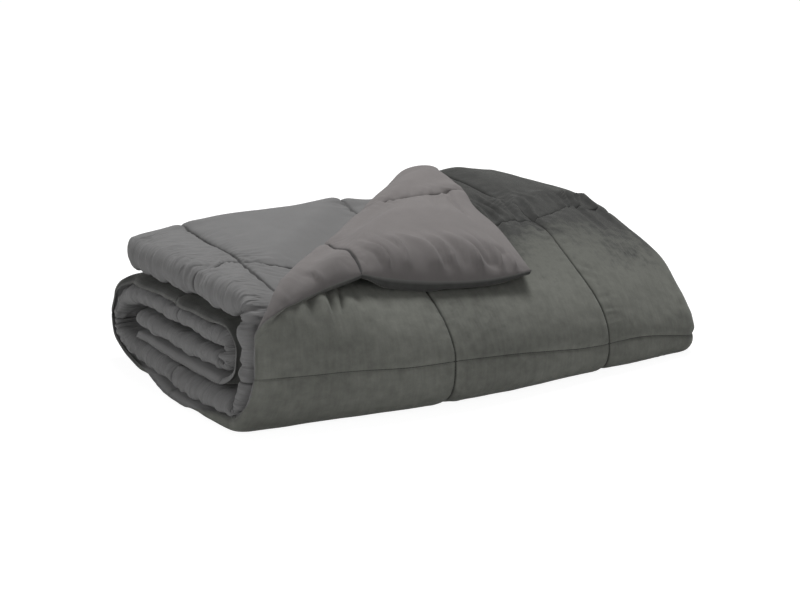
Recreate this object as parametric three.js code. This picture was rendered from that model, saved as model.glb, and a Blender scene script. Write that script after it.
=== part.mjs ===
// A square-quilted duvet, put away the way a shop shelf shows it: doubled across its width,
// rolled flat along its length, and with the free corner of its outer ply turned back.
//
// It is one padded thing, so it is one closed solid. The cloth is a sheet with two faces, the plush
// face and the brushed back, sewn through along a grid of seams and joined at the hem all round.
// Each point of the sheet is known by (across, along), in millimetres of cloth:
//   across  runs from the outer ply's side hem, round the doubled edge, through the inner ply and
//           into the margin that is turned under;
//   along   runs from the end hem on top of the bundle, down its front, under it, up its back and
//           in again to the core.
// The bundle lies on z = 0, with its long side along X and its front towards -Y.

import * as THREE from 'three';

// ---- the cloth ------------------------------------------------------------------------------

const SQUARE_ACROSS = 288;
const SQUARE_ALONG = 280;
const COLUMNS = 6;
const ROWS = 7;
const CLOTH_ACROSS = SQUARE_ACROSS * COLUMNS;
const CLOTH_ALONG = SQUARE_ALONG * ROWS;
const STITCHED = 3; // cloth and fill left under a seam
const PUFF_REACH = 90; // how far from a seam the fill reaches its full loft
const HEM_REACH = 42; // the same from the hem

// Where the hem sits between the faces along the outer ply's side: 1 at the plush face, -1 at the back.
const HEM_SEAT = [{ along: 0, seat: -0.35 }, { along: 480, seat: -0.35 }, { along: 520, seat: 0.7 },
  { along: 600, seat: 0.7 }, { along: 700, seat: -0.5 }];

// ---- how it is doubled ----------------------------------------------------------------------
// depth is measured inwards from the outside of the roll, half is half of the ply's full loft,
// and face is the share of the seams' draw that shows on the plush face.

const OUTER_PLY = { edge: { depth: 9.3, half: 8.6 }, middle: { depth: 12.3, half: 11.6 }, face: 0.4 };
const INNER_PLY = { edge: { depth: 27.4, half: 7 }, middle: { depth: 39.6, half: 12 }, face: 1 };
const INNER_BARE = { edge: { depth: 22.6, half: 10.2 }, middle: { depth: 33.5, half: 18 } };
const TURNED_PLY = { depth: 43.4, half: 6.4 };
const TURNED_BARE = { depth: 44.4, half: 7.2 };
const BARE = { from: 35, over: 60 }; // how far past the fold line the inner ply springs up
const EDGE_ZONE = { from: 130, to: 320 }; // where the plies pass from their edge to their middle
const DOUBLED_AT = 756; // where the outer ply starts to turn into the inner one
const TURNED_AT = 8; // where the inner ply starts to turn under

// ---- how it is rolled -----------------------------------------------------------------------
// The outside of the roll, cut square to X at a few stations:
//   top    height of the top                  shoulder  where the top starts to round to the front
//   front  y of the foremost point            belly     its height
//   toe    y where the underside starts       square    how boxy the front is above its foremost point
//   tuck   how boxy it is below                  core   radius of the second turn's bend, inside the front

const STATIONS = [
  { x: 0, top: 208, shoulder: 10, front: -53, belly: 90, toe: 5, square: 0.85, tuck: 0.75, core: 49 },
  { x: 290, top: 203, shoulder: 135, front: -102, belly: 75, toe: -20, square: 0.5, tuck: 0.75, core: 44 },
  { x: 580, top: 211, shoulder: 180, front: -74, belly: 55, toe: -5, square: 0.55, tuck: 0.75, core: 37 },
  { x: 770, top: 203, shoulder: 265, front: -40, belly: 45, toe: 12, square: 0.4, tuck: 0.7, core: 31 },
];
const END_HEM = 395; // y of the end hem on top
const HEEL = 310; // y where the underside starts to turn up
const BACK = { y: 413, z: 58 }; // the hindmost point
const SECOND_TOP = 280; // y where the second turn comes to lie under the first
const BACK_SQUARE = { below: 0.5, above: 0.62 };
const ROUND = 0.5523; // the same for a true quarter circle
const PACK = 52.5; // thickness of the roll's first turn
const CORE_END = 318; // y of the end inside the roll
const CORE_SQUEEZE = { loose: 54, from: 1000, over: 150 }; // the second turn is pressed into its bend
const TIGHTEST = 0.72; // how much of a bend's radius the plies may take up
const PRESSED = 2; // the underside is pressed flat up to here
const TOP_RISE = { by: 0.075, y: 120, overY: 230, x: -50, overX: 400 }; // the top swells at the back
const CORNER_DROOP = { by: 0.05, from: 270, over: 130, width: 120 }; // and sags at the back left
// and is rounded off there, the first turn alone
const CORNER_TUCK = { by: 30, from: 280, over: 100, width: 130, above: 150, overZ: 30 };
const END_SLANT = { by: 42, from: 400, over: 370, front: -40, depth: 440 }; // the doubled edge's skew

// ---- the corner turned back -----------------------------------------------------------------

const FOLD_LINE = { across: 512, along: 497.8 }; // where the fold starts, on the two hems
const FOLD_STEPS = 16; // steps of the mesh along either hem up to that line
const FOLD_ARC_STEPS = 3; // of these, how many go round the fold
const FLAP = { hem: 378, gather: 0.905, lean: 0.1, crest: 203, under: 0.7 };
const FLAP_DROOP = { by: 72, across: 520, from: 200, over: 240, power: 1.25 };
// Where the fold meets the side hem it is tight, and the corner still follows the roll.
const KNOT = { radius: 0.55, opensOver: 340, reach: 190 };

// ---- the mesh's steps -----------------------------------------------------------------------

const ACROSS_RUNS = [
  { to: FOLD_LINE.across, steps: FOLD_STEPS },
  { to: 2 * SQUARE_ACROSS, steps: 2 },
  { to: DOUBLED_AT, steps: 4 },
  { to: 'doubled', steps: 4 },
  { to: 3 * SQUARE_ACROSS, steps: 2 },
  { to: 4 * SQUARE_ACROSS, steps: 5 },
  { to: 5 * SQUARE_ACROSS, steps: 5 },
  { to: 'turning', steps: 2 },
  { to: 'turned', steps: 4 },
  { to: CLOTH_ACROSS, steps: 3 },
];
const ALONG_RUNS = [
  { to: FOLD_LINE.along, steps: FOLD_STEPS },
  { to: 2 * SQUARE_ALONG, steps: 2 },
  { to: 3 * SQUARE_ALONG, steps: 7 },
  { to: 4 * SQUARE_ALONG, steps: 7 },
  { to: 5 * SQUARE_ALONG, steps: 7 },
  { to: 6 * SQUARE_ALONG, steps: 8 },
  { to: CLOTH_ALONG, steps: 6 },
];
const STATION_STEP = 20; // spacing of the roll's worked-out sections
const PATH_STEPS = 24; // points on each curve of a section
const BEND_WINDOW = 35; // a bend's radius is measured over this length to each side

// ---- small helpers --------------------------------------------------------------------------

const clamp01 = (t) => Math.min(1, Math.max(0, t));
const mix = (a, b, t) => a + (b - a) * t;
const ease = (t) => { const c = clamp01(t); return c * c * (3 - 2 * c); };

/** 0 on a seam, 1 once the fill has its full loft: a quarter circle of the given reach. */
const loftAt = (distance, reach) => Math.sqrt(1 - (1 - clamp01(distance / reach)) ** 2);

/** Distance from t to the nearest inner seam of a row of squares. */
function seamDistance(t, pitch, count) {
  const nearest = Math.min(count - 1, Math.max(1, Math.round(t / pitch)));
  return Math.abs(t - nearest * pitch);
}

/** Smooth values between stations: cubic Hermite with the slopes of the neighbouring stations. */
function sectionAt(x) {
  const last = STATIONS.length - 1;
  const at = Math.min(Math.max(x, STATIONS[0].x), STATIONS[last].x);
  let i = 0;
  while (i < last - 1 && at > STATIONS[i + 1].x) i += 1;
  const a = STATIONS[i];
  const b = STATIONS[i + 1];
  const before = STATIONS[Math.max(i - 1, 0)];
  const after = STATIONS[Math.min(i + 2, last)];
  const span = b.x - a.x;
  const t = (at - a.x) / span;
  const section = {};
  for (const key of Object.keys(a)) {
    const slopeA = (b[key] - before[key]) / (b.x - before.x);
    const slopeB = (after[key] - a[key]) / (after.x - a.x);
    section[key] = (2 * t ** 3 - 3 * t ** 2 + 1) * a[key] + (t ** 3 - 2 * t ** 2 + t) * span * slopeA
      + (3 * t ** 2 - 2 * t ** 3) * b[key] + (t ** 3 - t ** 2) * span * slopeB;
  }
  return section;
}

// ---- the roll -------------------------------------------------------------------------------

const point = (y, z) => new THREE.Vector2(y, z);

/** Quarter turn from a to b that leaves a level (or upright) and meets b upright (or level). */
function quarter(a, b, square, startsLevel) {
  const first = startsLevel ? point(mix(a.x, b.x, square), a.y) : point(a.x, mix(a.y, b.y, square));
  const second = startsLevel ? point(b.x, mix(b.y, a.y, square)) : point(mix(b.x, a.x, square), b.y);
  return new THREE.CubicBezierCurve(a, first, second, b);
}

/** Radius of the bend at each point, smoothed over the cloth's thickness; a straight has a large one. */
function bendRadii(points, lengths) {
  const heading = (i) => {
    const d = points[Math.min(i + 1, points.length - 1)].clone().sub(points[Math.max(i - 1, 0)]);
    return Math.atan2(d.y, d.x);
  };
  return points.map((_, i) => {
    let low = i;
    let high = i;
    while (low > 0 && lengths[i] - lengths[low] < BEND_WINDOW) low -= 1;
    while (high < points.length - 1 && lengths[high] - lengths[i] < BEND_WINDOW) high += 1;
    const swing = heading(high) - heading(low);
    const turned = Math.abs(Math.atan2(Math.sin(swing), Math.cos(swing)));
    return (lengths[high] - lengths[low]) / Math.max(turned, 1e-3);
  });
}

/** Centre of the second turn's bend, as far forward as the first turn leaves room. */
function bendCentre(front, radius) {
  const z = PACK + radius;
  const near = front.filter((p) => Math.abs(p.y - z) < z);
  return point(Math.max(...near.map((p) => p.x + Math.sqrt(z ** 2 - (p.y - z) ** 2))), z);
}

/** The outside of the roll at one x: points a little apart, their lengths so far and where it rests. */
function rollSection(x) {
  const s = sectionAt(x);
  const secondTop = s.top - PACK;
  const front = point(s.front, s.belly);
  const back = point(BACK.y, BACK.z);
  const frontAbove = quarter(point(s.shoulder, s.top), front, s.square, true);
  const frontBelow = quarter(front, point(s.toe, 0), s.tuck, false);
  const outside = [...frontAbove.getPoints(PATH_STEPS), ...frontBelow.getPoints(PATH_STEPS)];
  const centre = bendCentre(outside, s.core);
  const bendTop = point(centre.x, centre.y + s.core);
  const bendFront = point(centre.x - s.core, centre.y);
  const curves = [
    new THREE.LineCurve(point(END_HEM, s.top), point(s.shoulder, s.top)),
    frontAbove,
    frontBelow,
    new THREE.LineCurve(point(s.toe, 0), point(HEEL, 0)),
    quarter(point(HEEL, 0), back, BACK_SQUARE.below, true),
    quarter(back, point(SECOND_TOP, secondTop), BACK_SQUARE.above, false),
    new THREE.LineCurve(point(SECOND_TOP, secondTop), bendTop),
    quarter(bendTop, bendFront, ROUND, true),
    quarter(bendFront, point(centre.x, PACK), ROUND, false),
    new THREE.LineCurve(point(centre.x, PACK), point(CORE_END, PACK)),
  ];
  const points = [];
  curves.forEach((curve, i) => points.push(...curve.getPoints(PATH_STEPS).slice(i ? 1 : 0)));
  const lengths = [0];
  for (let i = 1; i < points.length; i += 1) {
    lengths.push(lengths[i - 1] + points[i].distanceTo(points[i - 1]));
  }
  return { points, lengths, radii: bendRadii(points, lengths), restsAt: lengths[3 * PATH_STEPS] };
}

/** Place and inward direction on a section, for a length of cloth along it. Past the toe the cloth
 *  is eased so that every section uses up the same length. */
function onSection(section, along) {
  const { points, lengths, radii, restsAt } = section;
  const total = lengths[lengths.length - 1];
  const eased = along < restsAt ? along
    : mix(restsAt, total, (along - restsAt) / (CLOTH_ALONG - restsAt));
  const at = Math.min(Math.max(eased, 0), total - 1e-6);
  let low = 0;
  let high = lengths.length - 1;
  while (high - low > 1) {
    const middle = (low + high) >> 1;
    if (lengths[middle] > at) high = middle; else low = middle;
  }
  const direction = (i) => points[Math.min(i + 1, points.length - 1)].clone()
    .sub(points[Math.max(i - 1, 0)]).normalize();
  const t = (at - lengths[low]) / (lengths[high] - lengths[low]);
  const place = points[low].clone().lerp(points[high], t);
  const heading = direction(low).lerp(direction(high), t).normalize();
  return { y: place.x, z: place.y, inY: -heading.y, inZ: heading.x, radius: mix(radii[low], radii[high], t) };
}

const SECTIONS = [];
for (let x = -2 * STATION_STEP; x <= 800; x += STATION_STEP) SECTIONS.push({ x, ...rollSection(x) });

/** Point of space for a place in the roll: x, length along the outside, depth under the outside. */
function inRoll({ x, along, depth }) {
  const t = clamp01((x - SECTIONS[0].x) / (SECTIONS.length - 1) / STATION_STEP) * (SECTIONS.length - 1);
  const i = Math.min(Math.floor(t), SECTIONS.length - 2);
  const a = onSection(SECTIONS[i], along);
  const b = onSection(SECTIONS[i + 1], along);
  const room = TIGHTEST * mix(a.radius, b.radius, t - i);
  const under = depth > 0 ? depth / (1 + (depth / room) ** 3) ** (1 / 3) : depth;
  const y = mix(a.y, b.y, t - i) + under * mix(a.inY, b.inY, t - i);
  const z = mix(a.z, b.z, t - i) + under * mix(a.inZ, b.inZ, t - i);
  return new THREE.Vector3(x, y, z);
}

/** The same for the corner that lies over the top: it runs on level and droops a little in front. */
function overTop({ x, along, depth }) {
  const y = FLAP.hem - along * FLAP.gather;
  const ahead = Math.max(0, FLAP_DROOP.from - y) / FLAP_DROOP.over;
  const droop = FLAP_DROOP.by * ease(x / FLAP_DROOP.across) * ahead ** FLAP_DROOP.power;
  return new THREE.Vector3(x + FLAP.lean * (y - sectionAt(x).front), y, FLAP.crest - depth - droop);
}

/** The whole bundle's own swell and sag. */
function settle(p) {
  const rise = TOP_RISE.by * ease((p.y - TOP_RISE.y) / TOP_RISE.overY)
    * ease((p.x - TOP_RISE.x) / TOP_RISE.overX);
  const sag = CORNER_DROOP.by * ease((p.y - CORNER_DROOP.from) / CORNER_DROOP.over)
    * ease((CORNER_DROOP.width - p.x) / CORNER_DROOP.width);
  p.y -= CORNER_TUCK.by * ease((p.y - CORNER_TUCK.from) / CORNER_TUCK.over)
    * ease((CORNER_TUCK.width - p.x) / CORNER_TUCK.width)
    * ease((p.z - CORNER_TUCK.above) / CORNER_TUCK.overZ);
  p.z *= 1 + rise - sag;
  p.x -= END_SLANT.by * ((p.y - END_SLANT.front) / END_SLANT.depth) ** 2
    * ease((p.x - END_SLANT.from) / END_SLANT.over);
  p.z = Math.max(p.z, PRESSED);
  return p;
}

// ---- the fold line of the corner ------------------------------------------------------------

const FOLD_NORMAL = new THREE.Vector2(1 / FOLD_LINE.across, 1 / FOLD_LINE.along);
const CORNER_TO_FOLD = 1 / FOLD_NORMAL.length();
FOLD_NORMAL.normalize();
const FOLD_ARC = CORNER_TO_FOLD * FOLD_ARC_STEPS / FOLD_STEPS;
const FOLD_RADIUS = FOLD_ARC / Math.PI;

/** Distance of a point of the outer ply past the fold line, towards the cloth's corner. */
const pastFold = (across, along) => CORNER_TO_FOLD
  * (1 - across / FOLD_LINE.across - along / FOLD_LINE.along);

// ---- the doubled cloth ----------------------------------------------------------------------

const RIGHT_BEND = (INNER_PLY.middle.depth - OUTER_PLY.middle.depth) / 2;
const LEFT_BEND = (TURNED_PLY.depth - INNER_PLY.edge.depth) / 2;
const DOUBLED_TO = DOUBLED_AT + Math.PI * RIGHT_BEND;
const TURNING_FROM = DOUBLED_TO + (DOUBLED_AT - TURNED_AT);
const TURNED_TO = TURNING_FROM + Math.PI * LEFT_BEND;

const mixPly = (a, b, t) => ({ depth: mix(a.depth, b.depth, t), half: mix(a.half, b.half, t) });
const awayFromEdge = (x) => ease((x - EDGE_ZONE.from) / (EDGE_ZONE.to - EDGE_ZONE.from));

/** Half a turn from one ply to the next, about x. side is 1 to the right and -1 to the left. */
function bend(x, side, from, to, turn) {
  const radius = (to.depth - from.depth) / 2;
  return {
    x: x + side * radius * Math.sin(turn),
    depth: from.depth + radius * (1 - Math.cos(turn)),
    faceX: Math.sin(turn),
    faceDepth: -side * Math.cos(turn),
    half: mix(from.half, to.half, turn / Math.PI),
  };
}

/** Where a point of the cloth lies in the doubled stack: x, depth, the way its plush face looks,
 *  half its loft and the share of the seams' draw that shows on the plush face. */
function inStack(across, along) {
  const bare = (x) => ease((pastFold(Math.max(x, 0), along) - BARE.from) / BARE.over);
  const outer = (x) => mixPly(OUTER_PLY.edge, OUTER_PLY.middle, awayFromEdge(x));
  const inner = (x) => mixPly(
    mixPly(INNER_PLY.edge, INNER_PLY.middle, awayFromEdge(x)),
    mixPly(INNER_BARE.edge, INNER_BARE.middle, awayFromEdge(x)),
    bare(x),
  );
  const turned = mixPly(TURNED_PLY, TURNED_BARE, bare(0));
  if (across <= DOUBLED_AT) {
    return { ...outer(across), x: across, faceX: 0, faceDepth: -1, share: OUTER_PLY.face };
  }
  if (across < DOUBLED_TO) {
    const turn = (across - DOUBLED_AT) / RIGHT_BEND;
    const share = mix(OUTER_PLY.face, INNER_PLY.face, turn / Math.PI);
    return { ...bend(DOUBLED_AT, 1, outer(DOUBLED_AT), inner(DOUBLED_AT), turn), share };
  }
  if (across <= TURNING_FROM) {
    const x = DOUBLED_AT - (across - DOUBLED_TO);
    return { ...inner(x), x, faceX: 0, faceDepth: 1, share: INNER_PLY.face };
  }
  if (across < TURNED_TO) {
    const turn = (across - TURNING_FROM) / LEFT_BEND;
    return { ...bend(TURNED_AT, -1, inner(TURNED_AT), turned, turn), share: INNER_PLY.face };
  }
  const x = TURNED_AT + (across - TURNED_TO);
  return { ...turned, x, faceX: 0, faceDepth: -1, share: INNER_PLY.face };
}

// ---- the sewn loft --------------------------------------------------------------------------

/** Distance of the hem from the cloth's middle, to the plush side. */
function hemSeat(across, along, half) {
  if (across > 0) return 0;
  const next = HEM_SEAT.findIndex((row) => row.along > along);
  if (next < 0) return half * HEM_SEAT[HEM_SEAT.length - 1].seat;
  const [a, b] = [HEM_SEAT[next - 1], HEM_SEAT[next]];
  return half * mix(a.seat, b.seat, ease((along - a.along) / (b.along - a.along)));
}

/** Reach of the plush face and of the back from the cloth's middle, at a point of the sheet. */
function facesAt(across, along, { half, share }) {
  const loft = loftAt(seamDistance(across, SQUARE_ACROSS, COLUMNS), PUFF_REACH)
    * loftAt(seamDistance(along, SQUARE_ALONG, ROWS), PUFF_REACH);
  const hem = Math.min(across, CLOTH_ACROSS - across, along, CLOTH_ALONG - along);
  const open = loftAt(hem, HEM_REACH);
  const drawn = (2 * half - STITCHED) * (1 - loft);
  return {
    plush: open * (half - drawn * share / 2),
    back: open * (half - drawn * (1 - share / 2)),
  };
}

// ---- the corner turned back -----------------------------------------------------------------

/** A point of the corner: it goes round the fold line and lies back over the top. off is its
 *  distance from the cloth's middle on the side of the plush face. */
function inCorner(across, along, depth, off) {
  const past = pastFold(across, along);
  const turn = Math.min(past / FOLD_RADIUS, Math.PI);
  const beyond = Math.max(0, past - FOLD_ARC);
  const fromKnot = Math.hypot(across, along - FOLD_LINE.along);
  const radius = FOLD_RADIUS * mix(KNOT.radius, 1, ease(fromKnot / KNOT.opensOver));
  const reach = off > 0 ? off * mix(1, FLAP.under, ease(turn / Math.PI)) : off;
  const shift = past - (radius * Math.sin(turn) - beyond) + reach * Math.sin(turn);
  const place = {
    x: across + FOLD_NORMAL.x * shift,
    along: along + FOLD_NORMAL.y * shift,
    depth: depth - radius * (1 - Math.cos(turn)) - reach * Math.cos(turn),
  };
  return inRoll(place).lerp(overTop(place), ease(turn / Math.PI) * ease(fromKnot / KNOT.reach));
}

/** Point of space for a point of the sheet and a distance from its middle to the plush side. */
function onCloth(across, along, off, lane) {
  if (across < FOLD_LINE.across && pastFold(across, along) > 0) {
    return settle(inCorner(across, along, lane.depth, off));
  }
  const squeeze = mix(
    1,
    sectionAt(lane.x).core / CORE_SQUEEZE.loose,
    ease((along - CORE_SQUEEZE.from) / CORE_SQUEEZE.over),
  );
  return settle(inRoll({
    x: lane.x + off * lane.faceX, along, depth: squeeze * (lane.depth + off * lane.faceDepth),
  }));
}

// ---- the solid ------------------------------------------------------------------------------

/** Grid lines from 0 through the ends of the runs, each run in even steps. */
function gridLines(runs) {
  const named = { doubled: DOUBLED_TO, turning: TURNING_FROM, turned: TURNED_TO };
  const lines = [0];
  for (const run of runs) {
    const from = lines[lines.length - 1];
    const to = named[run.to] ?? run.to;
    for (let i = 1; i <= run.steps; i += 1) lines.push(mix(from, to, i / run.steps));
  }
  return lines;
}

/** The plush face and the back as two grids of points that share the hem, as one closed mesh. */
function duvetGeometry() {
  const lanes = gridLines(ACROSS_RUNS);
  const rows = gridLines(ALONG_RUNS);
  const positions = [];
  const indices = [];
  const add = (p) => positions.push(p.x, p.y, p.z) / 3 - 1;
  const plush = [];
  const back = [];
  lanes.forEach((across, i) => {
    plush.push([]);
    back.push([]);
    rows.forEach((along, j) => {
      const lane = inStack(across, along);
      const reach = facesAt(across, along, lane);
      const hem = i === 0 || j === 0 || i === lanes.length - 1 || j === rows.length - 1;
      const seat = hemSeat(across, along, lane.half);
      plush[i][j] = add(onCloth(across, along, hem ? seat : reach.plush, lane));
      back[i][j] = hem ? plush[i][j] : add(onCloth(across, along, -reach.back, lane));
    });
  });
  const quad = (a, b, c, d) => indices.push(a, b, c, a, c, d);
  for (let i = 0; i < lanes.length - 1; i += 1) {
    for (let j = 0; j < rows.length - 1; j += 1) {
      const [p, q] = [plush, back];
      quad(p[i + 1][j], p[i][j], p[i][j + 1], p[i + 1][j + 1]);
      quad(q[i][j + 1], q[i][j], q[i + 1][j], q[i + 1][j + 1]);
    }
  }
  const geometry = new THREE.BufferGeometry();
  geometry.setAttribute('position', new THREE.Float32BufferAttribute(positions, 3));
  geometry.setIndex(indices);
  geometry.computeBoundingBox();
  const middle = geometry.boundingBox.getCenter(new THREE.Vector3());
  geometry.translate(-middle.x, -middle.y, -geometry.boundingBox.min.z);
  geometry.computeVertexNormals();
  return geometry;
}

// ---- the model ------------------------------------------------------------------------------

const cloth = new THREE.MeshStandardMaterial({ color: 0x5c5e57, roughness: 0.95, metalness: 0 });
const duvet = new THREE.Mesh(duvetGeometry(), cloth);
duvet.name = 'duvet';

const model = new THREE.Group();
model.add(duvet);
export default model;
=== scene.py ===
"""Looks of a square-quilted duvet, doubled, rolled flat and laid with one corner turned back.

The cloth is one sheet with two faces, the plush face and the brushed back, sewn through along a
grid of seams and joined at the hem all round. A point of the sheet is known by (across, along), in
metres of cloth: across runs from the outer ply's side hem, round the doubled edge and through the
inner ply; along runs from the end hem on top of the bundle, down its front, under it and round to
the core. The surface is worked out on a fine grid of these two numbers, as whole arrays, and then
given its loft, puckers and creases. Lengths are in metres.
"""

from __future__ import annotations

import logging
import math
from dataclasses import dataclass, field
from enum import Enum
from typing import Callable, Sequence

import bpy
import numpy as np
from mathutils import Matrix, Vector

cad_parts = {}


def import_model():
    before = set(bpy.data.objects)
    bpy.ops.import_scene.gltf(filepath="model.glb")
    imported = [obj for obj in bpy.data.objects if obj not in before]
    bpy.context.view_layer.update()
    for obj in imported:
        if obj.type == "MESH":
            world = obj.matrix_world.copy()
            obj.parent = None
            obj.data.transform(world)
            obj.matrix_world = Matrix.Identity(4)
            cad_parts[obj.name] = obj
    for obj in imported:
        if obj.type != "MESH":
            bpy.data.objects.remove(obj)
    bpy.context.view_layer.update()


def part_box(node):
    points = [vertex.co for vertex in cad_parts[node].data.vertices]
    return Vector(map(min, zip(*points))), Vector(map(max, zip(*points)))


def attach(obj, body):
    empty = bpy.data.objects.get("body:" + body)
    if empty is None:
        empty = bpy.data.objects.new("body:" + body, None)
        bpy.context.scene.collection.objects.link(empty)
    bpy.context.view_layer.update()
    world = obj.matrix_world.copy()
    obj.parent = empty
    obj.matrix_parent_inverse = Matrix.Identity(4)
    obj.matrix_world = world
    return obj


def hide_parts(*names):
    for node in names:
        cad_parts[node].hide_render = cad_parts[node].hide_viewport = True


log = logging.getLogger("duvet")

Array = np.ndarray
Colour = tuple[float, float, float, float]

# Where the pleat of the turned corner lies, along its side hem.
PLEAT_AT = 0.280


# ---- small helpers ----


def clamp01(t: Array) -> Array:
    """t held between 0 and 1."""
    return np.clip(t, 0.0, 1.0)


def mix(a: Array, b: Array, t: Array) -> Array:
    """a where t is 0, b where t is 1, in a straight line between them."""
    return a + (b - a) * t


def ease(t: Array) -> Array:
    """Smooth step: 0 up to 0, 1 from 1, level at both ends."""
    c = clamp01(t)
    return c * c * (3 - 2 * c)


def uneven(u: Array, v: Array, seed: int) -> Array:
    """Gradient noise: a smooth random height, about -1 to 1, that is 0 at whole u and v.

    Each lattice point has a slope in a random direction. The heights that the four nearest slopes
    give are eased into each other.

    Args:
        u, v: places, one lattice square to the unit.
        seed: picks the slopes.

    Returns:
        The height at each place.
    """
    size = 128
    turn = np.random.default_rng(seed).uniform(0, 2 * math.pi, (size, size))
    i, j = np.floor(u).astype(int), np.floor(v).astype(int)
    du, dv = u - i, v - j

    def slope(k: int, n: int) -> Array:
        """Height that one corner's slope gives."""
        angle = turn[(i + k) % size, (j + n) % size]
        return np.cos(angle) * (du - k) + np.sin(angle) * (dv - n)

    a, b = ease(du), ease(dv)
    return 1.6 * mix(mix(slope(0, 0), slope(1, 0), a), mix(slope(0, 1), slope(1, 1), a), b)


def ridges(u: Array, v: Array, seed: int, sharp: float = 1.0) -> Array:
    """Uneven ridges across u, 0 to 1: narrow crests where the noise changes sign, broad troughs."""
    return (1 - np.minimum(1, np.abs(uneven(u, v, seed)) * 1.6)) ** sharp


@dataclass(frozen=True)
class Rise:
    """A smooth step up from 0 that starts at a place and reaches its height over a length.

    A length below 0 makes it rise towards smaller values.
    """

    start: float
    over: float
    height: float = 1.0

    def __call__(self, t: Array) -> Array:
        """Its height at t."""
        return self.height * ease((t - self.start) / self.over)


@dataclass(frozen=True)
class Hill:
    """A soft bump round a place, which dies away as exp(-t squared), t in widths."""

    at: float
    width: float
    height: float = 1.0

    def __call__(self, t: Array) -> Array:
        """Its height at t."""
        return self.height * np.exp(-(((t - self.at) / self.width) ** 2))


@dataclass(frozen=True)
class Waves:
    """Smooth unevenness of the cloth: its pitch both ways, its pattern and its height."""

    across: float
    along: float
    seed: int
    height: float = 1.0

    def __call__(self, across: Array, along: Array) -> Array:
        """Its height at places of the cloth."""
        return self.height * uneven(across / self.across, along / self.along, self.seed)


@dataclass(frozen=True)
class Pleats:
    """Uneven folds: their pitch, the length over which they change, pattern and sharpness.

    The level is the share of their height, from trough to crest, that is taken as 0, and a height
    below 0 turns them into hollows.
    """

    pitch: float
    length: float
    seed: int
    sharp: float
    height: float = 1.0
    level: float = 0.0
    shift: float = 0.0

    def __call__(self, t: Array, way: Array) -> Array:
        """Their height for places t square to the folds and way along them."""
        folds = ridges(t / self.pitch + self.shift, way / self.length, self.seed, self.sharp)
        return self.height * (folds - self.level)


@dataclass(frozen=True)
class Patch:
    """A stretch of the cloth: one shape across it times another along it."""

    across: Rise | Hill
    along: Rise | Hill

    def __call__(self, across: Array, along: Array) -> Array:
        """Its height at places of the cloth."""
        return self.across(across) * self.along(along)


# ---- the cloth ----


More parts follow.
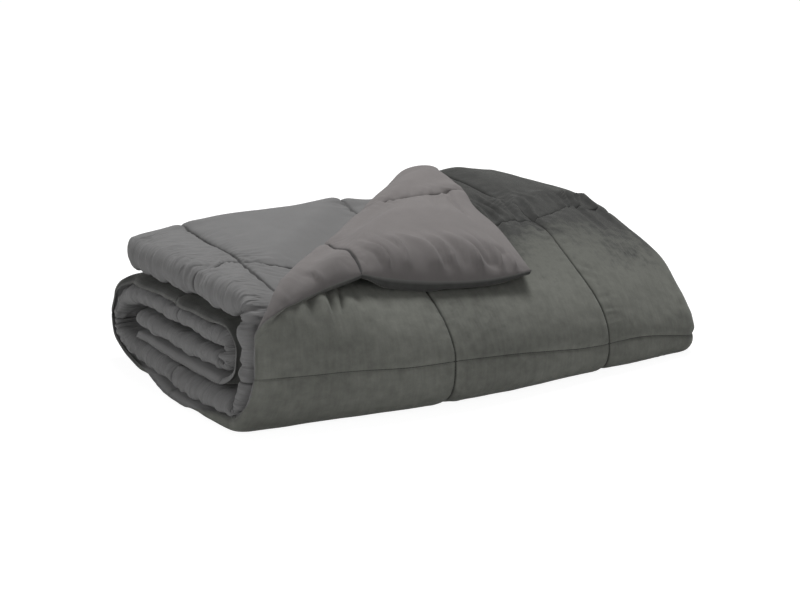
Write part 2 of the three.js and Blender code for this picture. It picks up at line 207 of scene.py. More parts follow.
@dataclass(frozen=True)
class Sheet:
    """The cloth lying open: its squares, how its seams stray and how it is filled."""

    square_across: float = 0.288
    square_along: float = 0.280
    columns: int = 6
    rows: int = 7
    stitched: float = 0.003
    puff_reach: float = 0.075
    tight: float = 0.27
    tight_reach: float = 0.007
    hem_reach: float = 0.028
    groove: float = 0.0012
    groove_width: float = 0.0030
    strays: float = 0.0025
    stray_pitch: float = 0.11
    stray_reach: float = 0.135
    past_doubled: Rise = Rise(0.80, 0.05)
    second_up: float = 0.0115
    second_climbs: Rise = Rise(0.50, 0.28, 0.042)
    first_climbs: Rise = Rise(0.565, 0.16, 0.055)
    dome_leans: Hill = Hill(0.40, 0.08, 0.012)
    margin_in: float = 0.008
    margin_leans: Rise = Rise(0.0, 0.15, 0.012)
    margin_drawn: Rise = Rise(0.24, 0.12, 0.024)
    margin_until: Rise = Rise(0.45, 0.05)
    corner_up: Hill = Hill(1.455, 0.035, 0.031)
    corner_climbs: Rise = Rise(1.400, 0.050, 0.015)
    beside_in: float = 0.018
    beside_until: Rise = Rise(0.15, 0.10)
    seam_stops: Rise = Rise(0.022, 0.020)
    pleat_width: float = 0.05
    taut_at: Hill = Hill(0.78, 0.06, 4.0)
    taut_until: float = 0.42

    @property
    def across(self) -> float:
        """Width of the open cloth."""
        return self.square_across * self.columns

    @property
    def along(self) -> float:
        """Length of the open cloth."""
        return self.square_along * self.rows

    @staticmethod
    def puffed(distance: Array, reach: float) -> Array:
        """Share of the full loft at a distance from a seam: a quarter circle of the given reach."""
        return np.sqrt(1 - (1 - clamp01(distance / reach)) ** 2)

    def filled(self, a: Array, b: Array) -> Array:
        """Share of the full loft at distances a and b from the two nearest seams.

        Each seam gives a tight rise at the stitching and then a wide one, and they multiply.

        Args:
            a, b: distances to the two nearest seams.

        Returns:
            The share, 0 to 1.
        """
        share = 1.0
        for distance in (np.abs(a), np.abs(b)):
            near = self.tight * self.puffed(distance, self.tight_reach)
            share = share * (near + (1 - self.tight) * self.puffed(distance, self.puff_reach))
        return share

    @staticmethod
    def nearest(t: Array, pitch: float, count: int) -> Array:
        """Number of the nearest inner seam of a row of squares."""
        return np.clip(np.round(t / pitch), 1, count - 1)

    def numbers(self, u: Array, v: Array) -> tuple[Array, Array]:
        """Numbers of the nearest seam that runs along and of the nearest that runs across."""
        return (
            self.nearest(u, self.square_across, self.columns),
            self.nearest(v, self.square_along, self.rows),
        )

    def to_seams(self, u: Array, v: Array) -> tuple[Array, Array]:
        """Signed distances to those two seams on the straight grid of squares."""
        column, row = self.numbers(u, v)
        return u - column * self.square_across, v - row * self.square_along

    def wander(self, u: Array, v: Array) -> tuple[Array, Array]:
        """How far the seam nearest to a place of the straight grid strays, across and along.

        Hand-fed stitching strays a little everywhere. Where the cloth is drawn up the front towards
        the doubled edge the second seam climbs, over the dome the first seam climbs and the second
        column leans in, and where the cloth is drawn over the open end's top corner the two seams
        that cross there shift towards each other.

        Args:
            u, v: places on the straight grid of squares.

        Returns:
            Both shifts, in metres.
        """
        column, row = self.numbers(u, v)
        off_across = self.strays * uneven(v / self.stray_pitch, column + 0.5, 11)
        off_along = self.strays * uneven(u / self.stray_pitch, row + 0.5, 12)
        outer = 1 - self.past_doubled(u)
        off_along += (row == 2) * outer * (self.second_up + self.second_climbs(u))
        off_along += (row == 1) * outer * self.first_climbs(u)
        off_along += (row == 1) * (self.corner_up(u) + self.corner_climbs(u))
        off_across += (column == 2) * self.dome_leans(v)
        drawn = self.margin_in + self.margin_leans(v) + self.margin_drawn(v)
        off_across -= (column == 5) * (1 - self.margin_until(v)) * drawn
        off_across -= (column == 4) * self.beside_in * (1 - self.beside_until(v))
        return off_across, off_along

    def cloth(self, u: Array, v: Array) -> tuple[Array, Array]:
        """Places on the open cloth for places on the straight grid of squares.

        A seam of the grid is shifted as far as it strays, and the shift eases away on both sides of
        it, to nothing before the middle of the squares.

        Args:
            u, v: places on the straight grid of squares.

        Returns:
            Places across and along the cloth.
        """
        off_across, off_along = self.wander(u, v)
        side_a, side_b = (np.abs(side) for side in self.to_seams(u, v))
        across = u - off_across * (1 - ease(side_a / self.stray_reach))
        return across, v - off_along * (1 - ease(side_b / self.stray_reach))

    def seams(self, u: Array, v: Array) -> tuple[Array, Array]:
        """Signed distances to the nearest seam that runs along, and to the nearest that runs across.

        Args:
            u, v: places on the straight grid of squares.

        Returns:
            Both distances. They grow near the hem, where the quilting stops short of it, and where
            the cloth is pulled taut round the doubled edge.
        """
        pleat = Hill(self.square_along, self.pleat_width)(v) * (u < self.square_across / 2)
        short = 1 + 3 * (1 - pleat) * (1 - self.seam_stops(self.to_hem(u, v)))
        taut = 1 + self.taut_at(u) * (v < self.taut_until)
        a, b = self.to_seams(u, v)
        return a * short, b * short * taut

    def to_hem(self, across: Array, along: Array) -> Array:
        """Distance to the nearest hem."""
        sides = np.minimum(across, self.across - across)
        return np.minimum(sides, np.minimum(along, self.along - along))


# ---- the roll ----


@dataclass(frozen=True)
class Station:
    """The outside of the roll, cut square to X at one place.

    top is the height of the top, shoulder the y where it starts to round to the front, front the y
    of the foremost point and belly its height, toe the y where the underside starts, square and tuck
    how boxy the front is above and below its foremost point, and core the radius of the second
    turn's bend inside the front.
    """

    x: float
    top: float
    shoulder: float
    front: float
    belly: float
    toe: float
    square: float
    tuck: float
    core: float


STATIONS = (
    Station(0.000, 0.208, 0.010, -0.053, 0.090, 0.005, 0.85, 0.75, 0.049),
    Station(0.290, 0.203, 0.135, -0.102, 0.075, -0.020, 0.50, 0.75, 0.044),
    Station(0.580, 0.211, 0.180, -0.077, 0.053, -0.015, 0.48, 0.75, 0.037),
    Station(0.770, 0.203, 0.265, -0.052, 0.040, -0.017, 0.30, 0.72, 0.031),
)


@dataclass
class Roll:
    """The flat roll that the doubled cloth is wound into, worked out as a table.

    A place in the roll is (x, along, depth): along is the length of cloth along the roll's outside
    from the end hem, and depth is how far under that outside it lies.
    """

    sheet: Sheet
    end_hem: float = 0.395
    heel: float = 0.310
    back_y: float = 0.413
    back_z: float = 0.058
    second_top: float = 0.280
    back_square_below: float = 0.50
    back_square_above: float = 0.62
    round_square: float = 0.5523
    pack: float = 0.0525
    core_end: float = 0.318
    tightest: float = 0.80
    bend_window: float = 0.035
    turn_window: float = 0.012
    curve_steps: int = 40
    x_from: float = -0.06
    x_to: float = 0.82
    x_step: float = 0.005
    along_step: float = 0.004
    _table: Array = field(init=False, repr=False)

    def __post_init__(self) -> None:
        """Works the table out: place, inward direction and bend radius for each x and along."""
        xs = np.arange(self.x_from, self.x_to, self.x_step)
        self._table = self._tabulate(self._paths(xs))

    def stations(self, xs: Array) -> dict[str, Array]:
        """Station values at each x: cubic Hermite curves whose slopes are the neighbours' slopes.

        Args:
            xs: places along X.

        Returns:
            An array for each of a station's values, by its name.
        """
        at = np.array([s.x for s in STATIONS])
        x = np.clip(xs, at[0], at[-1])
        i = np.clip(np.searchsorted(at, x, side="right") - 1, 0, len(at) - 2)
        before, after = np.maximum(i - 1, 0), np.minimum(i + 2, len(at) - 1)
        span = at[i + 1] - at[i]
        t = (x - at[i]) / span
        found = {}
        for name in Station.__dataclass_fields__:
            v = np.array([getattr(s, name) for s in STATIONS])
            slope_a = (v[i + 1] - v[before]) / (at[i + 1] - at[before])
            slope_b = (v[after] - v[i]) / (at[after] - at[i])
            ends = (2 * t**3 - 3 * t**2 + 1) * v[i] + (3 * t**2 - 2 * t**3) * v[i + 1]
            slopes = (t**3 - 2 * t**2 + t) * slope_a + (t**3 - t**2) * slope_b
            found[name] = ends + span * slopes
        return found

    def _line(self, a: Array, b: Array) -> Array:
        """Points from a to b in a straight line, for every section at once."""
        t = np.linspace(0, 1, self.curve_steps + 1)[None, :, None]
        return mix(a[:, None, :], b[:, None, :], t)

    def _quarter(self, a: Array, b: Array, square: Array, starts_level: bool) -> Array:
        """Cubic Bezier quarter turn from a to b.

        Args:
            a, b: its ends, for every section.
            square: how far its handles reach towards the corner.
            starts_level: whether it leaves a level and meets b upright, or the other way round.

        Returns:
            Points, for every section at once.
        """
        near, far = mix(a, b, square[:, None]), mix(b, a, square[:, None])
        if starts_level:
            first = np.stack([near[:, 0], a[:, 1]], axis=1)
            second = np.stack([b[:, 0], far[:, 1]], axis=1)
        else:
            first = np.stack([a[:, 0], near[:, 1]], axis=1)
            second = np.stack([far[:, 0], b[:, 1]], axis=1)
        t = np.linspace(0, 1, self.curve_steps + 1)[None, :, None]
        p, q, r, s = (v[:, None, :] for v in (a, first, second, b))
        return p * (1 - t) ** 3 + 3 * q * t * (1 - t) ** 2 + 3 * r * t**2 * (1 - t) + s * t**3

    def _paths(self, xs: Array) -> tuple[Array, int]:
        """The outside of the roll at each x, from the end hem to the core.

        Args:
            xs: where the sections are.

        Returns:
            Points (section, step, y and z), and the number of the step where the roll rests.
        """
        s = self.stations(xs)
        same = np.ones_like(xs)

        def point(y: Array | float, z: Array | float) -> Array:
            """The same kind of point in every section."""
            return np.stack([same * y, same * z], axis=1)

        top, front = point(s["shoulder"], s["top"]), point(s["front"], s["belly"])
        toe, heel = point(s["toe"], 0), point(self.heel, 0)
        back = point(self.back_y, self.back_z)
        above = self._quarter(top, front, s["square"], True)
        below = self._quarter(front, toe, s["tuck"], False)
        radius = s["core"]
        centre_z = self.pack + radius
        outside = np.concatenate([above, below], axis=1)
        rise = outside[:, :, 1] - centre_z[:, None]
        room = centre_z[:, None] ** 2 - rise**2
        ahead = np.where(room > 0, outside[:, :, 0] + np.sqrt(np.maximum(room, 0)), -np.inf)
        centre_y = ahead.max(axis=1)
        bend_top = point(centre_y, centre_z + radius)
        bend_front = point(centre_y - radius, centre_z)
        bend_low = point(centre_y, self.pack)
        second = point(self.second_top, s["top"] - self.pack)
        curves = [
            self._line(point(self.end_hem, s["top"]), top),
            above,
            below,
            self._line(toe, heel),
            self._quarter(heel, back, same * self.back_square_below, True),
            self._quarter(back, second, same * self.back_square_above, False),
            self._line(second, bend_top),
            self._quarter(bend_top, bend_front, same * self.round_square, True),
            self._quarter(bend_front, bend_low, same * self.round_square, False),
            self._line(bend_low, point(self.core_end, self.pack)),
        ]
        joined = [curves[0]] + [c[:, 1:, :] for c in curves[1:]]
        return np.concatenate(joined, axis=1), 3 * self.curve_steps

    def _tabulate(self, paths: tuple[Array, int]) -> Array:
        """Samples the sections at even lengths of cloth.

        Up to where the roll rests, cloth and path have the same length. Past it the cloth is eased,
        so that every section uses up the whole length. The inward direction is square to the path's
        heading, averaged over a short window, and the bend radius is twice a window's length over
        the turn of the heading in it.

        Args:
            paths: the sections' points and the step where the roll rests.

        Returns:
            (section, step of along, [y, z, inward y, inward z, radius]).
        """
        points, rests = paths
        cloth = np.arange(0, self.sheet.along + self.along_step, self.along_step)
        window = np.linspace(-self.turn_window, self.turn_window, 7)[:, None]
        wide = self.bend_window
        rows = []
        for path in points:
            steps = np.diff(path, axis=0)
            length = np.concatenate([[0], np.cumsum(np.hypot(steps[:, 0], steps[:, 1]))])
            heading = np.unwrap(np.arctan2(steps[:, 1], steps[:, 0]))
            middles = (length[1:] + length[:-1]) / 2
            total, rest = length[-1], length[rests]
            share = (cloth - rest) / (self.sheet.along - rest)
            at = np.where(cloth < rest, cloth, mix(rest, total, share))
            turned = np.interp(at + window, middles, heading).mean(axis=0)
            swing = np.interp(at + wide, middles, heading) - np.interp(at - wide, middles, heading)
            y, z = (np.interp(at, length, path[:, k]) for k in (0, 1))
            radius = 2 * wide / np.maximum(np.abs(swing), 1e-3)
            rows.append(np.stack([y, z, -np.sin(turned), np.cos(turned), radius], axis=1))
        return np.stack(rows)

    def place(self, x: Array, along: Array, depth: Array) -> Array:
        """Points of space for places in the roll.

        The depth is held under the bend's radius, so that the inner plies of a tight bend press
        together: depth over the third root of 1 + (depth / room) cubed.

        Args:
            x, along, depth: the places.

        Returns:
            Points, x y z in the last axis.
        """
        u = np.clip((x - self.x_from) / self.x_step, 0, self._table.shape[0] - 1.001)
        v = np.clip(along / self.along_step, 0, self._table.shape[1] - 1.001)
        found = between(self._table, u, v)
        room = self.tightest * found[..., 4]
        under = np.where(depth > 0, depth / np.cbrt(1 + (np.maximum(depth, 0) / room) ** 3), depth)
        y = found[..., 0] + under * found[..., 2]
        z = found[..., 1] + under * found[..., 3]
        return np.stack([x, y, z], axis=-1)


def between(grid: Array, u: Array, v: Array) -> Array:
    """Values of a grid at whole and broken steps u and v, in straight lines between its points.

    Args:
        grid: values at the grid's points.
        u, v: the steps.

    Returns:
        The values there.
    """
    i = np.minimum(u.astype(int), grid.shape[0] - 2)
    j = np.minimum(v.astype(int), grid.shape[1] - 2)
    a, b = (u - i)[..., None], (v - j)[..., None]
    low = mix(grid[i, j], grid[i + 1, j], a)
    return mix(low, mix(grid[i, j + 1], grid[i + 1, j + 1], a), b)


# ---- the doubled cloth ----


@dataclass(frozen=True)
class Ply:
    """One thickness of the duvet: the depth of its middle and half of its full loft."""

    depth: float
    half: float

    def to(self, other: Ply, t: Array) -> tuple[Array, Array]:
        """Depth and half loft of a ply that changes into another one."""
        return mix(self.depth, other.depth, t), mix(self.half, other.half, t)


@dataclass(frozen=True)
class Stack:
    """How the cloth is doubled: the outer ply, round the doubled edge, the inner ply, its margin."""

    outer_edge: Ply = Ply(0.0093, 0.0086)
    outer_middle: Ply = Ply(0.0123, 0.0116)
    inner_edge: Ply = Ply(0.0274, 0.0078)
    inner_middle: Ply = Ply(0.0396, 0.0120)
    bare_edge: Ply = Ply(0.0205, 0.0165)
    bare_middle: Ply = Ply(0.0325, 0.0185)
    turned: Ply = Ply(0.0434, 0.0074)
    turned_bare: Ply = Ply(0.0405, 0.0105)
    bare: Rise = Rise(0.035, 0.060)
    thickens: Rise = Rise(0.130, 0.190)
    doubled_at: float = 0.756
    turned_at: float = 0.008
    outer_share: float = 0.50
    inner_share: float = 1.1

    @property
    def doubled_to(self) -> float:
        """Where across leaves the doubled edge."""
        return self.doubled_at + math.pi * (self.inner_middle.depth - self.outer_middle.depth) / 2

    @property
    def turning_from(self) -> float:
        """Where across enters the bend into the margin that is turned under."""
        return self.doubled_to + self.doubled_at - self.turned_at

    @property
    def turned_to(self) -> float:
        """Where across leaves that bend."""
        return self.turning_from + math.pi * (self.turned.depth - self.inner_edge.depth) / 2

    @property
    def left_bend(self) -> float:
        """The middle of that bend."""
        return (self.turning_from + self.turned_to) / 2

    def lay(self, across: Array, past_fold: Array, past_fold_at_hem: Array) -> dict[str, Array]:
        """Where points of the cloth lie in the doubled stack.

        A ply thickens away from the open side, and the inner one springs up where nothing covers it.

        Args:
            across: places across the cloth.
            past_fold: how far each lies past the turned corner's fold line, by its x.
            past_fold_at_hem: the same at x = 0.

        Returns:
            x, depth, face_x and face_depth (the way the plush face looks), half (half the loft) and
            share (how much of the seams' draw shows on the plush face).
        """
        flat_x = np.select(
            [across <= self.doubled_to, across <= self.turning_from],
            [np.minimum(across, self.doubled_at), self.doubled_at - (across - self.doubled_to)],
            np.maximum(self.turned_at, self.turned_at + across - self.turned_to),
        )
        thick, bare = self.thickens(flat_x), self.bare(past_fold)
        outer_depth, outer_half = self.outer_edge.to(self.outer_middle, thick)
        covered = self.inner_edge.to(self.inner_middle, thick)
        sprung = self.bare_edge.to(self.bare_middle, thick)
        inner_depth, inner_half = (mix(a, b, bare) for a, b in zip(covered, sprung))
        turned_depth, turned_half = self.turned.to(self.turned_bare, self.bare(past_fold_at_hem))
        right = clamp01((across - self.doubled_at) / (self.doubled_to - self.doubled_at))
        left = clamp01((across - self.turning_from) / (self.turned_to - self.turning_from))
        on_right, on_left = across < self.doubled_to, across > self.turning_from
        start = np.where(on_left, inner_depth, outer_depth)
        end = np.where(on_left, turned_depth, inner_depth)
        radius = (end - start) / 2
        side = np.where(on_left, -1.0, 1.0)
        turn = math.pi * np.where(on_left, left, right)
        outer_to_inner = mix(outer_half, inner_half, right)
        return {
            "x": flat_x + side * radius * np.sin(turn),
            "depth": start + radius * (1 - np.cos(turn)),
            "face_x": np.sin(turn) * np.where((turn > 0) & (turn < math.pi), 1.0, 0.0),
            "face_depth": -np.cos(math.pi * (right + left)),
            "half": np.where(on_left, mix(inner_half, turned_half, left), outer_to_inner),
            "share": np.where(on_right, mix(self.outer_share, self.inner_share, right**3), 1.0),
        }


# ---- the corner turned back ----


@dataclass
class Corner:
    """The outer ply's free corner, folded back over a slanting line and laid over the top."""

    roll: Roll
    fold_across: float = 0.512
    fold_along: float = 0.4978
    arc_share: float = 3 / 16
    hem_y: float = 0.378
    gather: float = 0.905
    lean: float = 0.10
    crest: float = 0.203
    under: float = 0.75
    droop: Rise = Rise(0.0, 0.520, 0.057)
    droop_from: float = 0.200
    droop_over: float = 0.240
    droop_power: float = 1.25
    radius_share: float = 0.72
    levels: Rise = Rise(0.0, 0.190)
    spread: float = 0.11
    fades: float = 0.12
    tip_sag: float = 0.015
    knot_sag: float = 0.026
    pleat_at: float = PLEAT_AT
    pleat_sag: Hill = Hill(PLEAT_AT, 0.10, 0.009)
    end: Patch = Patch(Rise(0.40, 0.08), Hill(0.0, 0.045))
    end_out: float = 0.013
    end_up: float = 0.0095
    flat: Patch = Patch(Rise(0.28, 0.06), Hill(0.0, 0.07, 0.005))
    flat_until: Rise = Rise(0.40, 0.07)
    waist: Patch = Patch(Hill(0.23, 0.06, 0.012), Hill(0.0, 0.06))
    belly: float = 0.012
    belly_on: Rise = Rise(0.0, 0.12)
    belly_full: tuple[Rise, Rise] = (Rise(0.0, 0.07, 0.60), Rise(0.140, 0.03, 0.40))
    belly_ends: Rise = Rise(PLEAT_AT - 0.045, 0.040, 0.85)
    belly_edge: float = 0.014
    belly_fades: float = 0.09
    crown: float = 0.032
    crown_over: float = 0.06
    crown_edge: float = 0.060
    crown_from: Rise = Rise(0.0, 0.100)
    crown_low: Rise = Rise(0.14, 0.15, 0.95)
    crown_pleat: Hill = Hill(PLEAT_AT, 0.035, 0.4)
    crown_seams: float = 0.85

    @property
    def to_fold(self) -> float:
        """Distance from the cloth's corner to the fold line."""
        return 1 / math.hypot(1 / self.fold_across, 1 / self.fold_along)

    @property
    def arc(self) -> float:
        """Length of cloth that goes round the fold."""
        return self.to_fold * self.arc_share

    def past(self, across: Array, along: Array) -> Array:
        """Distance of points of the outer ply past the fold line, towards the corner."""
        return self.to_fold * (1 - across / self.fold_across - along / self.fold_along)

    def over_top(self, x: Array, along: Array, depth: Array) -> Array:
        """Points of the corner that lie over the top: level, with a droop in front.

        Args:
            x: the points' x before they lean.
            along: their places along the cloth.
            depth: how far they lie under the top.

        Returns:
            Points, x y z in the last axis.
        """
        y = self.hem_y - along * self.gather
        ahead = np.maximum(0, self.droop_from - y) / self.droop_over
        droop = self.droop(x) * ahead**self.droop_power
        lean = self.lean * (y - self.roll.stations(x)["front"])
        return np.stack([x + lean, y, self.crest - depth - droop], axis=-1)

    def place(self, across: Array, along: Array, depth: Array, off: Array) -> Array:
        """Points of space for points of the corner.

        It goes round the fold line on a small circle and then back over the top, and eases from the
        roll's own shape to a level one as it turns. The fold's far end stands out and up, the cloth
        beside it lies flatter, and the free edge is drawn in to a waist.

        Args:
            across, along: points of the sheet past the fold line.
            depth: depth of the ply before it turns.
            off: distance from the ply's middle to the plush side.

        Returns:
            Points, x y z in the last axis.
        """
        past = self.past(across, along)
        round_ = self.arc / math.pi
        turn = np.minimum(past / round_, math.pi)
        beyond = np.maximum(0, past - self.arc)
        radius = round_ * self.radius_share
        turned = ease(turn / math.pi)
        reach = np.where(off > 0, off * mix(1, self.under, np.sin(turn)), off)
        shift = past - (radius * np.sin(turn) - beyond) + reach * np.sin(turn)
        x = across + self.to_fold / self.fold_across * shift
        x = x + self.spread * turned**2 * across * np.exp(-along / self.fades)
        end = self.end(across, along)
        flat = self.flat(across, along) * (1 - self.flat_until(across))
        x = x - ease(2 * turned) * (self.waist(across, along) - self.end_out * end)
        back = along + self.to_fold / self.fold_along * shift
        low = depth - radius * (1 - np.cos(turn)) - reach * np.cos(turn)
        level = turned * self.levels(np.hypot(across, along - self.fold_along))
        laid = mix(self.roll.place(x, back, low), self.over_top(x, back, low), level[..., None])
        laid[..., 2] -= turned * self.sag(across, along)
        laid[..., 2] += ease(2 * turned) * (self.end_up * end - flat)
        return laid

    def sag(self, across: Array, along: Array) -> Array:
        """Drop of the hem between its tip and the pleat: half a sine wave that fades inwards.

        Args:
            across, along: places of the cloth.

        Returns:
            The drop, in metres.
        """
        tip = np.sin(math.pi * clamp01(along / self.pleat_at))
        rest = self.fold_along - self.pleat_at
        knot = np.sin(math.pi * clamp01((along - self.pleat_at) / rest))
        drop = self.tip_sag * tip + self.knot_sag * knot + self.pleat_sag(along)
        return drop * np.exp(-across / self.fades)

    def underneath(self, across: Array, along: Array) -> Array:
        """Extra reach of the plush face, where the filling hangs down behind the hem.

        It is fullest just before the pleat, slight past it, and runs out towards the tip.

        Args:
            across, along: places of the cloth.

        Returns:
            The reach, in metres.
        """
        full = self.belly_full[0](along) + self.belly_full[1](along)
        full = full * (1 - self.belly_ends(along)) * Sheet.puffed(across, self.belly_edge)
        on = self.belly_on(self.past(across, along))
        return self.belly * on * full * np.exp(-across / self.belly_fades)

    def on_top(self, across: Array, along: Array, filled: Array) -> Array:
        """Extra reach of the brushed face, where the filling stands up behind both hems.

        Args:
            across, along: places of the cloth.
            filled: share of the full loft that the seams leave there.

        Returns:
            The reach, in metres.
        """
        on = Rise(self.arc, self.crown_over)(self.past(across, along))
        edges = Sheet.puffed(across, self.crown_edge) * self.crown_from(along)
        edges = edges * (1 - self.crown_pleat(along)) * (1 - self.crown_low(across))
        return self.crown * on * edges * mix(self.crown_seams, 1.0, filled)


# ---- fine shape ----


@dataclass(frozen=True)
class Heights:
    """How high each kind of wrinkle stands on one face, and the first seed of their patterns."""

    seed: int
    puckers: float
    bend: float
    filling: float = 0.0016
    dome: float = 0.0
    front: float = 0.0
    flap: float = 0.0
    crumples: float = 0.0
    creases: float = 0.0
    fades: float = 0.0


ON_PLUSH = Heights(100, puckers=0.0020, bend=0.0030, dome=0.0125, front=0.0130)
ON_BACK = Heights(
    120, puckers=0.0042, bend=0.0080, flap=0.0130, crumples=0.0080, creases=-0.0050, fades=1.0
)


@dataclass
class Wrinkles:
    """Fine shape of the faces: heights that are added along their normals."""

    sheet: Sheet
    stack: Stack
    corner: Corner
    pucker_at: float = 0.011
    pucker_pitch: float = 0.013
    pucker_length: float = 0.045
    pucker_floor: float = 0.4
    fan_out: float = 0.35
    fan_pitch: float = 0.05
    fan_apart: float = 5.3
    line_apart: float = 7.7
    line_side: float = 0.8
    group_pitch: float = 0.07
    group_share: float = 0.6
    group_apart: float = 3.1
    group_side: float = 0.6
    bend_width: float = 0.060
    bend_at_seam: float = 0.25
    bend_clears: Rise = Rise(0.0, 0.025, 0.75)
    bend_waves: Waves = Waves(0.05, 0.05, 31, 0.010)
    bend_level: float = 0.3
    bend_folds: tuple[Pleats, Pleats] = (
        Pleats(0.034, 0.11, 32, 2.0, -0.7), Pleats(0.014, 0.07, 33, 1.4, -0.3),
    )
    flap_from: Rise = Rise(0.0, 0.10)
    flap_until: Rise = Rise(0.11, -0.11)
    flap_power: float = 1.5
    flap_end: Rise = Rise(0.0, 0.012)
    flap_slant: float = -0.28
    flap_waves: Waves = Waves(0.07, 0.07, 41, 0.008)
    flap_folds: tuple[Pleats, Pleats] = (
        Pleats(0.034, 0.22, 42, 2.6, 1.0, 0.25), Pleats(0.021, 0.14, 43, 2.4, -0.6, 0.35, 3.3),
    )
    flap_lower: Rise = Rise(0.27, 0.04, 0.4)
    flap_pleat: Hill = Hill(PLEAT_AT, 0.035, 0.8)
    crease_from: Rise = Rise(0.13, 0.06)
    crease_until: Rise = Rise(0.275, 0.02)
    creases: tuple[tuple[float, Hill], ...] = (
        (0.10, Hill(0.030, 0.006)), (0.32, Hill(0.050, 0.008, 0.7)),
    )
    dome_from: Rise = Rise(0.38, 0.10)
    dome_before: Hill = Hill(-0.050, 0.055)
    dome_after: Hill = Hill(0.030, 0.030, 0.35)
    dome_slant: float = 0.22
    dome_waves: Waves = Waves(0.06, 0.08, 51, 0.008)
    dome_folds: Pleats = Pleats(0.024, 0.20, 52, 1.4, 1.0, 0.35)
    front: Patch = Patch(Hill(0.12, 0.07), Hill(0.450, 0.032))
    front_slant: float = 0.12
    front_folds: Pleats = Pleats(0.024, 0.2, 61, 1.6, -1.0, 0.35)
    filling_from: Rise = Rise(0.0, 0.02)
    filling: tuple[tuple[float, float], ...] = ((0.10, 0.7), (0.035, 0.3))
    crumple_width: float = 0.07
    crumple_bends: tuple[Hill, Hill] = (Hill(1.60, 0.09), Hill(0.50, 0.09, 0.6))
    crumples: Waves = Waves(0.05, 0.032, 71)
    across_groove: float = 0.6
    quiet: Patch = Patch(Hill(0.04, 0.08, 0.8), Hill(PLEAT_AT, 0.05))

    def _beside(self, distance: Array, t: Array, seam: Array, seed: int) -> Array:
        """Puckers square to one family of seams.

        Their height is d / p * exp(1 - d / p), so it is nothing at the stitching and greatest at a
        distance p. They fan out a little and come in groups.

        Args:
            distance: signed distance to the nearest seam.
            t: place along that seam.
            seam: the number of that seam.
            seed: picks the pattern.

        Returns:
            Heights, about -0.5 to 0.5.
        """
        away, side = np.abs(distance), np.sign(distance)
        near = away / self.pucker_at
        bent = uneven(t / self.fan_pitch, seam * self.fan_apart + side, seed)
        fan = (t + self.fan_out * away * bent) / self.pucker_pitch
        shift = seam * self.line_apart + side * self.line_side
        lines = ridges(fan, away / self.pucker_length + shift, seed + 1)
        shift = seam * self.group_apart + side * self.group_side
        group = self.group_share * (1 + uneven(t / self.group_pitch, shift, seed + 2))
        return near * np.exp(1 - near) * (lines - self.pucker_floor) * clamp01(group)

    def at_seams(self, across: Array, along: Array, seed: int) -> Array:
        """Puckers beside all seams, about -0.5 to 0.5.

        Args:
            across, along: places of the cloth.
            seed: picks the pattern.

        Returns:
            Heights, as shares.
        """
        a, b = self.sheet.seams(across, along)
        column, row = self.sheet.numbers(across, along)
        return self._beside(a, along, column, seed) + self._beside(b, across, row + 20, seed + 5)

    def at_left_bend(self, across: Array, along: Array) -> Array:
        """Gathers round the fold of the margin, short of cloth on its inside: about -0.7 to 0.3.

        Args:
            across, along: places of the cloth.

        Returns:
            Heights, as shares.
        """
        _, b = self.sheet.seams(across, along)
        amount = Hill(self.stack.left_bend, self.bend_width)(across)
        amount = amount * (self.bend_at_seam + self.bend_clears(np.abs(b)))
        bent = along + self.bend_waves(across, along)
        return amount * (self.bend_level + sum(folds(bent, across) for folds in self.bend_folds))

    def on_flap(self, across: Array, along: Array) -> Array:
        """Slanting folds that run up from the turned corner's hem, about -0.6 to 1.

        They are raised, with fine hollows among them, and lower at the pleat and past it.

        Args:
            across, along: places of the cloth.

        Returns:
            Heights, as shares.
        """
        on = self.flap_from(self.corner.past(across, along))
        near_hem = self.flap_until(across) ** self.flap_power * self.flap_end(along)
        slant = along + self.flap_slant * across + self.flap_waves(across, along)
        lower = (1 - self.flap_lower(along)) * (1 - self.flap_pleat(along))
        heights = sum(folds(slant, across + along) for folds in self.flap_folds)
        return lower * on * near_hem * heights

    def at_right_hem(self, across: Array, along: Array) -> Array:
        """Two creases that run from a seam's end beside the turned corner's other hem, 0 to 1.

        Args:
            across, along: places of the cloth.

        Returns:
            Depths, as shares.
        """
        away = self.sheet.square_across - across
        band = self.crease_from(across) * (1 - self.crease_until(across))
        return band * sum(line(along - slant * away) for slant, line in self.creases)

    def on_dome(self, across: Array, along: Array) -> Array:
        """Slanting folds across the seam over the right end of the top, about -0.4 to 0.6.

        Args:
            across, along: places of the cloth.

        Returns:
            Heights, as shares.
        """
        past = along - self.sheet.square_along
        slant = across + self.dome_slant * past + self.dome_waves(across, along)
        band = (self.dome_before(past) + self.dome_after(past)) * self.dome_from(across)
        return band * self.dome_folds(slant, along)

    def below_flap(self, across: Array, along: Array) -> Array:
        """A few upright hollows on the front under the turned corner, about -0.6 to 0.4."""
        slant = across + self.front_slant * (along - self.front.along.at)
        return self.front(across, along) * self.front_folds(slant, along)

    def all_over(self, across: Array, along: Array, seed: int) -> Array:
        """Soft unevenness of the filling, about -1 to 1.

        Args:
            across, along: places of the cloth.
            seed: picks the pattern.

        Returns:
            Heights, as shares.
        """
        a, b = self.sheet.seams(across, along)
        away = self.filling_from(np.minimum(np.abs(a), np.abs(b)))
        waves = (Waves(p, p, seed + k, high) for k, (p, high) in enumerate(self.filling))
        return away * sum(wave(across, along) for wave in waves)

    def at_front_bend(self, across: Array, along: Array) -> Array:
        """Crumpled bulges on the left end where the cloth turns round the front, about -1 to 1."""
        band = Hill(self.stack.left_bend, self.crumple_width)(across)
        return band * sum(bend(along) for bend in self.crumple_bends) * self.crumples(across, along)

    def groove(self, across: Array, along: Array) -> Array:
        """The stitching's own narrow groove, 0 to 1."""
        a, b = (np.exp(-np.abs(d) / self.sheet.groove_width) for d in self.sheet.seams(across, along))
        return np.maximum(a, self.across_groove * b)

